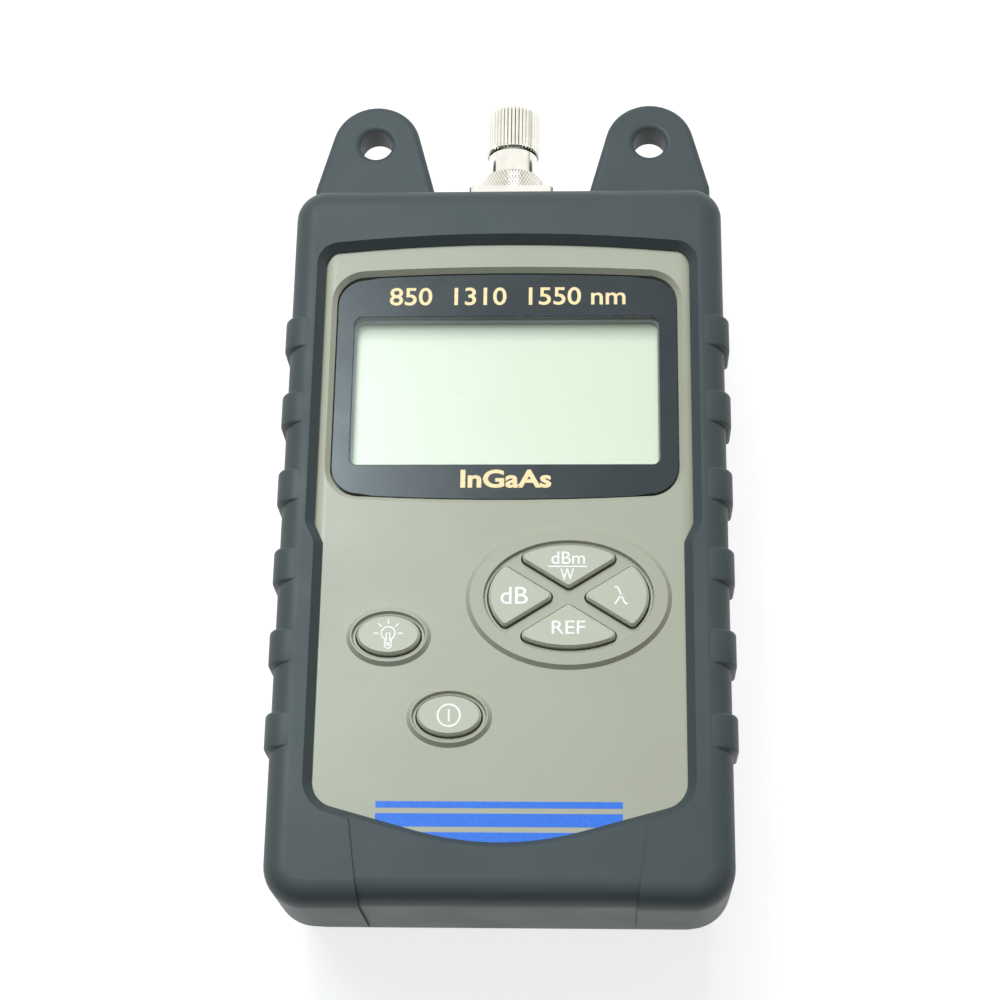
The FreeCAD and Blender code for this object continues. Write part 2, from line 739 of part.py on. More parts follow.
def rim(name, x, y, outer_a, outer_b, inner_a, inner_b):
    """A raised oval rim with sloping sides round an opening."""
    low = d.case_front - d.case_wall / 4
    high = d.case_front + d.rim_height
    mound = body(f"{name}_mound")
    foot = sketch(mound, offset=low)
    ellipse(foot, x, y, outer_a, outer_b)
    pad(mound, foot, d.case_front - low)
    base = sketch(mound, offset=d.case_front)
    ellipse(base, x, y, outer_a, outer_b)
    crest = sketch(mound, offset=high)
    ellipse(crest, x, y, outer_a - d.rim_slope, outer_b - d.rim_slope)
    loft(mound, base, crest)
    dish = body(f"{name}_dish")
    floor = sketch(dish, offset=d.case_front)
    ellipse(floor, x, y, inner_a + d.rim_land, inner_b + d.rim_land)
    mouth = sketch(dish, offset=high)
    ellipse(mouth, x, y, inner_a + d.rim_land + d.rim_inset, inner_b + d.rim_land + d.rim_inset)
    loft(dish, floor, mouth)
    above = sketch(dish, offset=high)
    ellipse(above, x, y, inner_a + d.rim_land + d.rim_inset, inner_b + d.rim_land + d.rim_inset)
    pad(dish, above, d.rim_height)
    return cut(name, mound, dish)


def lens_outline(item, gap):
    """Draw the display window's outline: straight sides and bowed long edges."""
    half = lens_width / 2 + gap
    low, high = d.lens_low - gap, d.lens_high + gap
    bow = (half * half + d.lens_crown * d.lens_crown) / (d.lens_crown * 2)
    outline(item, [(-half, low), (half, low, bow), (half, high), (-half, high, bow)])


def lens_block(name, gap, bottom, top):
    """A slab with the display window's outline."""
    owner = body(name)
    profile = sketch(owner, offset=bottom)
    lens_outline(profile, gap)
    pad(owner, profile, as_size(top) - bottom)
    fillet(owner, d.lens_corner + gap, upright)
    return owner


SECTORS = {"dbm_w": "top", "db": "left", "lambda": "right", "ref": "bottom"}
OVALS = {"backlight": (d.light_key_x, d.light_key_y), "power": (d.power_key_x, d.power_key_y)}


def front_case(walls):
    """The front half of the case: panel, display recess, key openings and bosses."""
    room = block("front_room", -case_width, -d.case_length, case_width, d.case_length,
                 d.case_split, d.case_front * 2)
    half = overlap("front_half", walls, room)
    added = [
        rim("cluster_rim", cluster_x, d.cluster_y, d.cluster_rim_a, d.cluster_rim_b,
            d.cluster_a, d.cluster_b),
        lens_block("display_ledge", d.frame_margin, ledge_bottom, panel_inside + d.case_wall / 4),
    ]
    for name, (x, y) in OVALS.items():
        added.append(rim(f"{name}_rim", x, y, d.oval_rim_a, d.oval_rim_b, d.oval_a, d.oval_b))
    removed = [
        lens_block("lens_recess", d.lens_gap, lens_bottom, d.case_front + d.case_wall),
        block("view_opening", -view_x, d.view_low, view_x, d.view_high,
              ledge_bottom - d.case_wall, d.case_front, d.view_corner),
    ]
    through = (panel_inside - d.case_wall, d.case_front + d.case_wall)
    for name, side in SECTORS.items():
        removed.append(sector(f"opening_{name}", side, 0.0, *through, d.key_round + d.key_gap))
    for name, (x, y) in OVALS.items():
        removed.append(oval(f"opening_{name}", x, y, d.oval_a, d.oval_b, *through))
    bite = d.case_split + d.case_bite + d.hole_gap
    for number, (x, y) in enumerate(four_corners(case_screw_x, d.case_screw_y)):
        added.append(post(f"front_boss_{number}", x, y, d.case_boss, d.case_split,
                          panel_inside + d.case_wall / 4))
        removed.append(post(f"front_pilot_{number}", x, y, d.case_shank + d.thread_gap,
                            d.case_split - d.overcut, bite))
    for number, (x, y) in enumerate(four_corners(board_screw_x, d.board_screw_y)):
        added.append(post(f"board_boss_{number}", x, y, d.board_boss, d.board_top,
                          panel_inside + d.case_wall / 4))
        removed.append(post(f"board_pilot_{number}", x, y, d.screw_shank + d.thread_gap,
                            d.board_top - d.overcut, d.board_top + d.screw_bite + d.hole_gap))
    rough = cut("front_case_rough", join("front_case_solid", half, *added), *removed)
    owner = finish("front_case", rough)
    margin = (d.lens_crown + d.lens_gap) * 2
    rim_of_recess = within(-lens_width / 2 - margin, d.lens_low - margin,
                           lens_width / 2 + margin, d.lens_high + margin)
    chamfer(owner, d.lens_chamfer, both(at("z", d.case_front), rim_of_recess))
    return owner


def back_case(walls):
    """The back half of the case with the battery bay and the screw seats."""
    room = block("back_room", -case_width, -d.case_length, case_width, d.case_length,
                 -d.case_front, d.case_split)
    half = overlap("back_half", walls, room)
    inner_back = d.case_back + d.case_wall
    wall_x = bay_x + d.bay_wall
    added = [block("bay_block", -wall_x, bay_low - d.bay_wall, wall_x, bay_high + d.bay_wall,
                   inner_back - d.case_wall / 4, bay_ceiling + d.bay_wall)]
    removed = [
        block("bay_room", -bay_x, bay_low, bay_x, bay_high, d.case_back + d.door_thickness, bay_ceiling),
        block("door_opening", -bay_x, bay_low, bay_x, bay_high,
              d.case_back - d.overcut, d.case_back + d.door_thickness, d.door_corner),
    ]
    slot = d.tab_width / 2 + d.tab_gap
    for side, x in (("left", -d.cell_pitch / 2), ("right", d.cell_pitch / 2)):
        removed.append(block(f"tab_slot_{side}", x - slot, bay_high - d.overcut, x + slot,
                             bay_high + d.tab_reach + d.tab_gap, inner_back,
                             inner_back + d.tab_thickness + d.tab_swing))
    seat = d.case_back + d.case_head_seat
    for number, (x, y) in enumerate(four_corners(case_screw_x, d.case_screw_y)):
        added.append(post(f"back_boss_{number}", x, y, d.case_boss, inner_back - d.case_wall / 4,
                          d.case_split))
        removed.append(post(f"head_seat_{number}", x, y, d.case_head + d.hole_gap,
                            d.case_back - d.overcut, seat))
        removed.append(post(f"back_hole_{number}", x, y, d.case_shank + d.hole_gap, d.case_back,
                            d.case_split + d.overcut))
    return cut("back_case", join("back_case_solid", half, *added), *removed)


def battery_door():
    """The door: a plate with a finger notch at one end and two tabs at the other."""
    top = d.case_back + d.door_thickness
    half = bay_x - d.door_gap
    plate = block("door_plate", -half, bay_low + d.door_gap, half, bay_high - d.door_gap,
                  d.case_back, top, d.door_corner)
    tabs = []
    root = bay_high - d.tab_root
    for side, x in (("left", -d.cell_pitch / 2), ("right", d.cell_pitch / 2)):
        left, right = x - d.tab_width / 2, x + d.tab_width / 2
        tabs.append(block(f"door_tab_{side}", left, root, right, bay_high + d.tab_reach - d.tab_gap,
                          top + d.tab_gap / 2, top + d.tab_thickness))
        tabs.append(block(f"door_tab_root_{side}", left, root, right, bay_high - d.door_gap,
                          top - d.door_thickness / 2, top + d.tab_thickness))
    notch = post("door_notch", 0, bay_low + d.door_gap, d.notch_radius, d.case_back - d.overcut,
                 d.case_back + d.notch_depth)
    return cut("battery_door", join("door_solid", plate, *tabs), notch)


# ---------------------------------------------------------------- boot

def boot_outline(step):
    """Return the boot's outline in plan, let in at the bottom end."""
    half_x, high = d.boot_width / 2, d.boot_length / 2
    low = step - high
    wide, narrow = d.boot_low_corner, d.boot_top_corner
    return [(wide - half_x, low, wide), (half_x - wide, low), (half_x, low + wide, wide),
            (half_x, high - narrow), (half_x - narrow, high, narrow), (narrow - half_x, high),
            (-half_x, high - narrow, narrow), (-half_x, low + wide)]


def boot_block(name, step):
    """The front half of the boot without pads and ears, let in at the front and the bottom end."""
    owner = body(name)
    middle = sketch(owner, offset=d.boot_middle)
    outline(middle, boot_outline(step))
    pad(owner, middle, d.boot_front - step - d.boot_middle)
    fillet(owner, d.boot_edge, at("z", d.boot_front - step))
    return owner


def boot_back(name):
    """The back half of the boot, which tapers and leans away from the bottom end."""
    owner = body(name)
    middle = sketch(owner, offset=d.boot_middle)
    outline(middle, boot_outline(as_size(0.0)))
    tapered = pad(owner, middle, d.boot_middle, backwards=True, taper=-d.boot_taper)
    tapered.UseCustomVector = True
    tapered.Direction = Vector(0, -math.tan(math.radians(d.boot_lean.value)), 1)
    tapered.AlongSketchNormal = True
    bind(tapered, "Direction.y", -tangent(d.boot_lean))
    fillet(owner, d.boot_edge, at("z", 0.0))
    return owner


def ear(name):
    """The right ear: a tapering lug with a round top and a hole."""
    owner = body(name)
    tip_x = d.ear_round * cosine(d.ear_flare)
    tip_y = d.ear_y + d.ear_round * sine(d.ear_flare)
    foot_y = d.boot_length / 2 - d.boot_edge
    inner_x = ear_x - tip_x - (tip_y - foot_y) * tangent(d.ear_flare)
    outer_x = d.boot_width / 2 - d.ear_edge
    outer_y = tip_y - (outer_x - ear_x - tip_x) / tangent(d.ear_flare)
    profile = sketch(owner, offset=d.ear_low)
    outline(profile, [(inner_x, foot_y), (outer_x, foot_y), (outer_x, outer_y),
                      (ear_x + tip_x, tip_y), (ear_x - tip_x, tip_y, d.ear_round)])
    circle(profile, ear_x, d.ear_y, d.ear_hole)
    pad(owner, profile, d.ear_thickness)
    faces = at("z", d.ear_low, d.ear_low + d.ear_thickness)
    hole = within(ear_x - d.ear_hole, d.ear_y - d.ear_hole, ear_x + d.ear_hole, d.ear_y + d.ear_hole)
    chamfer(owner, d.ear_lip, both(faces, hole))
    foot = at("y", foot_y)
    fillet(owner, d.ear_edge, both(faces, lambda edge: not hole(edge) and not foot(edge)))
    return owner


def grip_pad(name, low_y):
    """A grip pad on the right, which wraps from the boot's side onto its front edge."""
    owner = body(name)
    inner = d.boot_width / 2 - d.boot_edge
    wall = d.boot_width / 2 - d.pad_edge
    outer = d.boot_width / 2 + d.pad_rise
    profile = sketch(owner, "XZ_Plane", offset=-low_y)
    outline(profile, [(inner, d.pad_low), (wall, d.pad_low), (outer, d.pad_low + d.pad_run_out),
                      (outer, d.pad_front - d.boot_edge),
                      (outer - d.boot_edge, d.pad_front, d.boot_edge), (inner, d.pad_front)])
    pad(owner, profile, d.pad_length, backwards=True)
    exposed = at("x", inner)
    fillet(owner, d.pad_edge, both(at("y", low_y, low_y + d.pad_length), lambda edge: not exposed(edge)))
    return owner


def mirrored(name, source):
    """The same piece on the other side of the meter."""
    item = doc.addObject("Part::Mirroring", name)
    item.Source = source
    item.Base = Vector(0, 0, 0)
    item.Normal = Vector(1, 0, 0)
    return item


def window(name):
    """The opening in the front of the boot, flared where its edge is chamfered."""
    owner = body(name)
    side = window_upper_x
    bow = (side * side + d.window_crown * d.window_crown) / (d.window_crown * 2)
    low_x, high_y = window_lower_x, d.window_top - d.window_crown
    profile = sketch(owner, offset=d.case_split)
    outline(profile, [
        (0, d.window_point), (low_x, d.window_shoulder), (low_x, d.window_step_low),
        (side, d.window_step_high), (side, high_y), (-side, high_y, bow),
        (-side, d.window_step_high), (-low_x, d.window_step_low), (-low_x, d.window_shoulder)])
    flare_start = d.boot_front - d.lip_chamfer
    pad(owner, profile, flare_start - d.case_split)
    fillet(owner, d.window_chin, both(upright, at("x", 0)))
    fillet(owner, d.window_corner, both(upright, at("y", high_y)))
    fillet(owner, d.window_low_corner, both(upright, at("y", d.window_shoulder)))
    fillet(owner, d.window_step_round, both(upright, at("y", d.window_step_high, d.window_step_low)))
    doc.recompute()
    faces = owner.Tip.Shape.Faces
    top = next(number for number, face in enumerate(faces, start=1)
               if abs(face.CenterOfMass.z - flare_start.value) < TINY)
    flare = pad(owner, (owner.Tip, [f"Face{top}"]), d.lip_chamfer * 2)
    flare.TaperAngle = 45.0
    return owner


def band():
    """What is taken off the middle of the boot's bottom end."""
    zone = body("band_zone")
    profile = sketch(zone, offset=0.0)
    beyond = -d.boot_length
    slope = (d.band_top_x - d.band_low_x) / (d.boot_length / 2 + d.band_top_y)
    beyond_x = d.band_low_x - slope * (d.boot_length / 2)
    outline(profile, [(-beyond_x, beyond), (beyond_x, beyond), (d.band_top_x, d.band_top_y),
                      (-d.band_top_x, d.band_top_y)])
    pad(zone, profile, d.boot_front * 2)
    low_room = block("band_core_back", -d.boot_width, d.band_step - d.boot_length / 2, d.boot_width,
                     d.boot_length, -d.overcut, d.boot_middle + d.overcut)
    return cut("band", zone, join("band_core", boot_block("boot_core", d.band_step), low_room))


def rubber_boot():
    """The boot: one moulding with ears, grip pads, a front window and a back window."""
    right_ear = ear("right_ear")
    row = []
    for number in range(int(d.pad_count.value)):
        row.append(grip_pad(f"grip_pad_{number}", d.pad_first - d.pad_pitch * number))
    solid = join("boot_solid", boot_block("boot_front_half", 0.0), boot_back("boot_back_half"),
                 right_ear, mirrored("left_ear", right_ear),
                 *row, *[mirrored(f"left_{item.Name}", item) for item in row])
    half_nose = d.nose_half + d.nose_gap
    return cut("rubber_boot", solid, case_block("case_room", d.boot_fit), window("window"),
               block("back_window", -back_window_x, -d.back_window_y, back_window_x,
                     d.back_window_y, -d.overcut, d.case_split, d.back_window_corner),
               nose_block("nose_room", d.nose_gap, d.case_length / 2 - d.overcut,
                          d.boot_length / 2 + d.overcut),
               band())


# ---------------------------------------------------------------- display

def display():
    """The window, the display glass, the light panel behind it and the contact strip."""
    inset = d.light_inset
    strip_low = d.glass_low + d.strip_inset
    return {
        "display_lens": lens_block("display_lens", 0.0, lens_bottom, lens_top),
        "display_glass": block("display_glass", -glass_x, d.glass_low, glass_x, d.glass_high,
                               glass_bottom, glass_top),
        "light_panel": block("light_panel", -glass_x + inset,
                             strip_low + d.strip_width + d.strip_inset, glass_x - inset,
                             d.glass_high - inset, d.board_top, glass_bottom),
        "contact_strip": block("contact_strip", -glass_x + inset, strip_low, glass_x - inset,
                               strip_low + d.strip_width, d.board_top, glass_bottom),
    }


# ---------------------------------------------------------------- keys

def keys():
    """The six keys, each a raised top with a flange that keeps it behind the panel."""
    pieces = {}
    for name, side in SECTORS.items():
        top = sector(f"{name}_top", side, d.key_gap, key_foot, key_top, d.key_round)
        chamfer(top, d.key_edge, at("z", key_top))
        flange = sector(f"{name}_flange", side, -d.flange_reach, flange_top - d.flange_thickness,
                        flange_top, d.key_round)
        pieces[f"key_{name}"] = join(f"key_{name}", top, flange)
    for name, (x, y) in OVALS.items():
        top = oval(f"{name}_top", x, y, d.oval_a - d.key_gap, d.oval_b - d.key_gap, key_foot, key_top)
        chamfer(top, d.key_edge, at("z", key_top))
        flange = oval(f"{name}_flange", x, y, d.oval_a + d.flange_reach, d.oval_b + d.flange_reach,
                      flange_top - d.flange_thickness, flange_top)
        pieces[f"key_{name}"] = join(f"key_{name}", top, flange)
    return pieces


def dome_places():
    """Return the middle of each key, where the mat has a dome."""
    reach_x = d.cluster_a * 2 / 3
    reach_y = d.cluster_b * 3 / 5
    return [(cluster_x, d.cluster_y + reach_y), (cluster_x - reach_x, d.cluster_y),
            (cluster_x + reach_x, d.cluster_y), (cluster_x, d.cluster_y - reach_y),
            *OVALS.values()]


def key_mat():
    """The rubber mat under the keys, with a dome for each."""
    margin = d.mat_margin
    sheet = block("mat_sheet", d.light_key_x - d.oval_a - margin, d.power_key_y - d.oval_b - margin,
                  cluster_x + d.cluster_a + margin, d.cluster_y + d.cluster_b + margin,
                  d.board_top, mat_top, margin)
    domes = []
    for number, (x, y) in enumerate(dome_places()):
        dome = body(f"dome_{number}")
        foot = sketch(dome, offset=mat_top)
        circle(foot, x, y, d.dome_radius)
        crest = sketch(dome, offset=dome_crest)
        circle(crest, x, y, d.dome_top)
        loft(dome, foot, crest)
        domes.append(dome)
    return join("key_mat", sheet, *domes)


# ---------------------------------------------------------------- board and screws

def main_board():
    """The circuit board, with a hole for each of its screws."""
    plate = block("board_plate", -board_x, -d.board_y, board_x, d.board_y, board_bottom,
                  d.board_top, d.board_boss)
    holes = []
    for number, (x, y) in enumerate(four_corners(board_screw_x, d.board_screw_y)):
        holes.append(post(f"board_hole_{number}", x, y, d.screw_shank + d.hole_gap,
                          board_bottom - d.overcut, d.board_top + d.overcut))
    return cut("main_board", plate, *holes)


def screws():
    """The board's four screws and the case's four screws."""
    board = []
    for number, (x, y) in enumerate(four_corners(board_screw_x, d.board_screw_y)):
        board.append(upright_turned(f"board_screw_{number}", x, y, [
            (board_bottom - d.screw_head_depth, d.screw_head), (board_bottom, d.screw_shank),
            (d.board_top + d.screw_bite, d.screw_shank)]))
    seat = d.case_back + d.case_head_seat
    case = []
    for number, (x, y) in enumerate(four_corners(case_screw_x, d.case_screw_y)):
        case.append(upright_turned(f"case_screw_{number}", x, y, [
            (seat - d.case_head_depth, d.case_head), (seat, d.case_shank),
            (d.case_split + d.case_bite, d.case_shank)]))
    return {"board_screws": group("board_screws", board), "case_screws": group("case_screws", case)}


# ---------------------------------------------------------------- batteries

def batteries():
    """Three cells side by side, their springs and the plates at both ends."""
    pieces = {}
    springs = []
    plates = []
    foot = bay_low + d.plate_thickness
    cell_low = foot + d.spring_length
    cell_high = cell_low + d.cell_length
    for number in range(3):
        x = d.cell_pitch * (number - 1)
        cell = turned(f"battery_{number + 1}", [
            (cell_low, 0), (cell_high + d.cell_tip, 0), (cell_high + d.cell_tip, d.cell_tip_radius),
            (cell_high, d.cell_tip_radius), (cell_high, d.cell_radius), (cell_low, d.cell_radius)],
            x, cell_axis)
        chamfer(cell, d.cell_edge, lambda edge: radius_of(edge, d.cell_radius))
        pieces[f"battery_{number + 1}"] = cell
        springs.append(turned(f"spring_{number}", [
            (foot, 0), (cell_low, 0), (cell_low, d.spring_top), (foot, d.spring_foot)], x, cell_axis))
        for end, low in (("low", bay_low), ("high", bay_high - d.plate_thickness)):
            plates.append(block(f"plate_{end}_{number}", x - d.plate_half, low, x + d.plate_half,
                                low + d.plate_thickness, cell_axis - d.plate_half,
                                cell_axis + d.plate_half))
    pieces["battery_springs"] = group("battery_springs", springs)
    pieces["contact_plates"] = group("contact_plates", plates)
    return pieces


def radius_of(edge, radius):
    """Say whether an edge is a circle of the given radius."""
    return hasattr(edge.Curve, "Radius") and abs(edge.Curve.Radius - as_size(radius).value) < TINY


# ---------------------------------------------------------------- port

plate_front = d.nose_end + d.plate_depth
boss_end = plate_front + d.boss_length
collar_end = boss_end + d.collar_depth
ring_start = plate_front + d.ring_gap
ring_seat = collar_end + d.ring_gap
bore_start = d.diode_seat - d.diode_can_length - d.diode_foot_depth


def port_flange():
    """The port: a square plate with a threaded boss outside and a barrel inside."""
    stem = turned("port_stem", [
        (d.barrel_start, 0), (boss_end, 0), (boss_end, d.boss_radius), (plate_front, d.boss_radius),
        (plate_front, d.barrel_radius), (d.barrel_start, d.barrel_radius)])
    plate = body("port_plate")
    profile = sketch(plate, "XZ_Plane", offset=-d.nose_end)
    half = d.plate_side / 2
    outline(profile, rectangle(-half, d.port_height - half, half, d.port_height + half))
    pad(plate, profile, d.plate_depth, backwards=True)
    fillet(plate, d.plate_corner, running("y"))
    bore = turned("port_bores", [
        (d.barrel_start - d.overcut, 0), (boss_end + d.overcut, 0), (boss_end + d.overcut, d.port_bore),
        (d.diode_seat, d.port_bore), (d.diode_seat, d.diode_bore),
        (d.barrel_start - d.overcut, d.diode_bore)])
    return cut("port_flange", join("port_solid", stem, plate), bore)


def port_nut():
    """The round nut that clamps the port to the end wall of the case."""
    end = d.case_length / 2 - d.case_wall
    start = end - d.lock_nut_depth
    inner = d.barrel_radius + d.thread_gap
    return turned("port_nut", [
        (start, inner), (end, inner), (end, d.lock_nut_radius), (start, d.lock_nut_radius)][::-1])


def photodiode():
    """The photodiode: a can on a header with two leads."""
    foot = bore_start + d.diode_foot_depth
    can = turned("diode_can_body", [
        (bore_start, 0), (d.diode_seat, 0), (d.diode_seat, d.diode_can), (foot, d.diode_can),
        (foot, d.diode_foot), (bore_start, d.diode_foot)])
    leads = []
    for number, x in enumerate((-d.lead_offset, d.lead_offset)):
        leads.append(turned(f"lead_{number}", [
            (bore_start - d.lead_length, 0), (bore_start + d.diode_foot_depth / 2, 0),
            (bore_start + d.diode_foot_depth / 2, d.lead_radius),
            (bore_start - d.lead_length, d.lead_radius)], x))
    return join("photodiode", can, *leads)


def adapter():
    """The fibre adapter: collar, neck and threaded sleeve with a key slot."""
    solid = turned("adapter_solid", [
        (boss_end, 0), (d.sleeve_end, 0), (d.sleeve_end, d.sleeve_radius),
        (d.neck_end, d.sleeve_radius), (d.neck_end, d.neck_radius), (collar_end, d.neck_radius),
        (collar_end, d.collar_radius), (boss_end, d.collar_radius)])
    chamfer(solid, d.sleeve_chamfer,
            both(at("y", d.sleeve_end), lambda edge: radius_of(edge, d.sleeve_radius)))
    before, after = boss_end - d.overcut, d.sleeve_end + d.overcut
    radius = d.ferrule_outer + d.ferrule_gap
    bore = turned("adapter_bore", [(before, 0), (after, 0), (after, radius), (before, radius)])
    slot = block("adapter_slot", -d.slot_width / 2, d.sleeve_end - d.slot_depth, d.slot_width / 2,
                 after, d.port_height + d.ferrule_outer + d.ferrule_gap / 2,
                 d.port_height + d.sleeve_radius * 2)
    return cut("fibre_adapter", solid, bore, slot)


def ferrule_sleeve():
    """The ceramic sleeve that a connector's ferrule slides into."""
    end = d.sleeve_end - d.ferrule_inset
    return turned("ferrule_sleeve", [
        (d.ferrule_start, d.ferrule_inner), (end, d.ferrule_inner), (end, d.ferrule_outer),
        (d.ferrule_start, d.ferrule_outer)])


def knurled_nut():
    """The nut that holds the adapter to the port's boss."""
    wide = d.boss_radius + d.thread_clearance
    narrow = d.neck_radius + d.ring_gap
    owner = turned("knurled_nut", [
        (ring_start, wide), (ring_seat, wide), (ring_seat, narrow), (d.ring_end, narrow),
        (d.ring_end, d.ring_radius), (ring_start, d.ring_radius)][::-1])
    chamfer(owner, d.ring_chamfer, lambda edge: radius_of(edge, d.ring_radius))
    return owner


def dust_cap():
    """The screw cap, with straight serrations round it."""
    owner = body("dust_cap")
    inner = d.sleeve_radius + d.thread_clearance
    profile = sketch(owner, "XZ_Plane", offset=-d.cap_start, lift=d.port_height)
    circle(profile, 0, 0, d.cap_radius)
    pad(owner, profile, d.cap_end - d.cap_start, backwards=True)
    chamfer(owner, d.cap_chamfer, at("y", d.cap_end))
    mouth = sketch(owner, "XZ_Plane", offset=-d.cap_start, lift=d.port_height)
    circle(mouth, 0, 0, inner)
    pocket(owner, mouth, d.cap_end - d.cap_roof - d.cap_start)
    groove = sketch(owner, "XZ_Plane", offset=-d.cap_start, lift=d.port_height)
    half = d.serration_width / 2
    outline(groove, [(half, d.cap_radius + d.serration_depth), (-half, d.cap_radius + d.serration_depth),
                     (0, d.cap_radius - d.serration_depth)])
    first = pocket(owner, groove, d.cap_end - d.cap_start)
    pattern = owner.newObject("PartDesign::PolarPattern", "dust_cap_serrations")
    pattern.Originals = [first]
    pattern.Axis = (groove, ["N_Axis"])
    pattern.Angle = 360.0
    bind(pattern, "Occurrences", d.serration_count)
    owner.Tip = pattern
    return owner


def cap_seal():
    """The soft disc inside the end of the dust cap."""
    start = d.sleeve_end + d.seal_gap
    end = d.cap_end - d.cap_roof
    radius = d.sleeve_radius + d.thread_clearance - d.seal_side_gap
    return turned("cap_seal", [(start, 0), (end, 0), (end, radius), (start, radius)])


# ---------------------------------------------------------------- assembly

def build():
    """Make every piece, move it so that the origin is under the middle, and return them by name."""
    walls = case_walls()
    pieces = {
        "rubber_boot": rubber_boot(),
        "front_case": front_case(walls),
        "back_case": back_case(walls),
        "battery_door": battery_door(),
        "key_mat": key_mat(),
        "main_board": main_board(),
        "amplifier_shield": block("amplifier_shield", -d.shield_x, d.shield_low, d.shield_x,
                                  d.shield_high, board_bottom - d.shield_depth, board_bottom),
        "port_flange": port_flange(),
        "port_nut": port_nut(),
        "photodiode": photodiode(),
        "fibre_adapter": adapter(),
        "ferrule_sleeve": ferrule_sleeve(),
        "knurled_nut": knurled_nut(),
        "dust_cap": dust_cap(),
        "cap_seal": cap_seal(),
    }
    for made in (display(), keys(), screws(), batteries()):
        pieces.update(made)
    middle = (d.ear_y + d.ear_round - d.boot_length / 2) / 2
    for name, item in pieces.items():
        item.Label = name
        bind(item, ".Placement.Base.y", -middle)
    doc.recompute()
    return pieces


def check(pieces):
    """Stop if an object of the document failed, or if a piece isn't a sound solid."""
    for item in doc.Objects:
        if "Invalid" in item.State or "Error" in item.State:
            raise RuntimeError(f"{item.Name} failed: {item.State}")
    for name, item in pieces.items():
        shape = item.Shape
        if shape.isNull() or not shape.isValid() or not shape.Solids:
            raise RuntimeError(f"{name} has no valid solid")


def export(pieces):
    """Write each piece to its own STEP file."""
    os.makedirs("parts", exist_ok=True)
    for name, item in pieces.items():
        item.Shape.exportStep(f"parts/{name}.step")
        box = item.Shape.BoundBox
        print(f"{name:18s} solids {len(item.Shape.Solids)} faces {len(item.Shape.Faces):4d} "
              f"volume {item.Shape.Volume:10.1f} "
              f"x {box.XMin:7.2f} {box.XMax:7.2f} y {box.YMin:7.2f} {box.YMax:7.2f} "
              f"z {box.ZMin:6.2f} {box.ZMax:6.2f}")


PIECES = build()
check(PIECES)
export(PIECES)
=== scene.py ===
import logging
import math
from dataclasses import dataclass
from enum import Enum

import bmesh
import bpy
from mathutils import Matrix, Vector

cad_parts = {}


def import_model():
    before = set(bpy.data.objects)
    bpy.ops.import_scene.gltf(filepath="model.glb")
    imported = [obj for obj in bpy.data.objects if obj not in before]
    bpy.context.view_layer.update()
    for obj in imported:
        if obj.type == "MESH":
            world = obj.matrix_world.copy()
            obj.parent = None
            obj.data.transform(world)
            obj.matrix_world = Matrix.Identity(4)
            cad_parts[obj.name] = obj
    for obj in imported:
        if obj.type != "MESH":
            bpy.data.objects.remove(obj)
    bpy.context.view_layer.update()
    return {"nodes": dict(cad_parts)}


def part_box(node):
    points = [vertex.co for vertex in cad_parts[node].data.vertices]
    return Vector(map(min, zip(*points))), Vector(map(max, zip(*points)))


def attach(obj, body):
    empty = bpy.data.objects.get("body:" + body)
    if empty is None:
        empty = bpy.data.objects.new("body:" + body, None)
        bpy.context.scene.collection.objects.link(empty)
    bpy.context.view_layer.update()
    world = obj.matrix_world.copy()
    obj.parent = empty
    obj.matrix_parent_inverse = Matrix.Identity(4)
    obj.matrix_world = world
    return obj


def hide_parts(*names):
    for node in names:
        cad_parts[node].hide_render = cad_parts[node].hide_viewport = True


LOG = logging.getLogger("optical_power_meter")
MM = 0.001
INK = 0.02 * MM
WELD = 0.0001 * MM
PORT_HEIGHT = 20.3 * MM
SHARP_ANGLE = 35.0
FLAT_ANGLE = 20.0
Socket = bpy.types.NodeSocket
Piece = bpy.types.Object
Triple = tuple[float, float, float]
Colour = Triple
Point = tuple[float, float]
Loop = list[Point]


def shade(red: int, green: int, blue: int) -> Colour:
    """Turn a display colour into the linear values that a shader takes.

    Args:
        red: Red from 0 to 255.
        green: Green from 0 to 255.
        blue: Blue from 0 to 255.

    Returns:
        The linear colour.
    """
    def linear(value: int) -> float:
        """Return one channel as a linear value."""
        share = value / 255
        return share / 12.92 if share <= 0.04045 else ((share + 0.055) / 1.055) ** 2.4
    return linear(red), linear(green), linear(blue)


def toned(colour: Colour, factor: float) -> Colour:
    """Return a colour made lighter or darker by a factor."""
    return tuple(min(1.0, channel * factor) for channel in colour)


class Part(Enum):
    """The moving bodies of the meter."""

    METER = "meter"
    DOOR = "door"
    ADAPTER = "adapter"
    NUT = "coupling_nut"
    CAP = "cap"
    KEY_DBM = "dbm_w_key"
    KEY_DB = "db_key"
    KEY_LAMBDA = "lambda_key"
    KEY_REF = "ref_key"
    KEY_LIGHT = "backlight_key"
    KEY_POWER = "power_key"


# ---------------------------------------------------------------- node trees

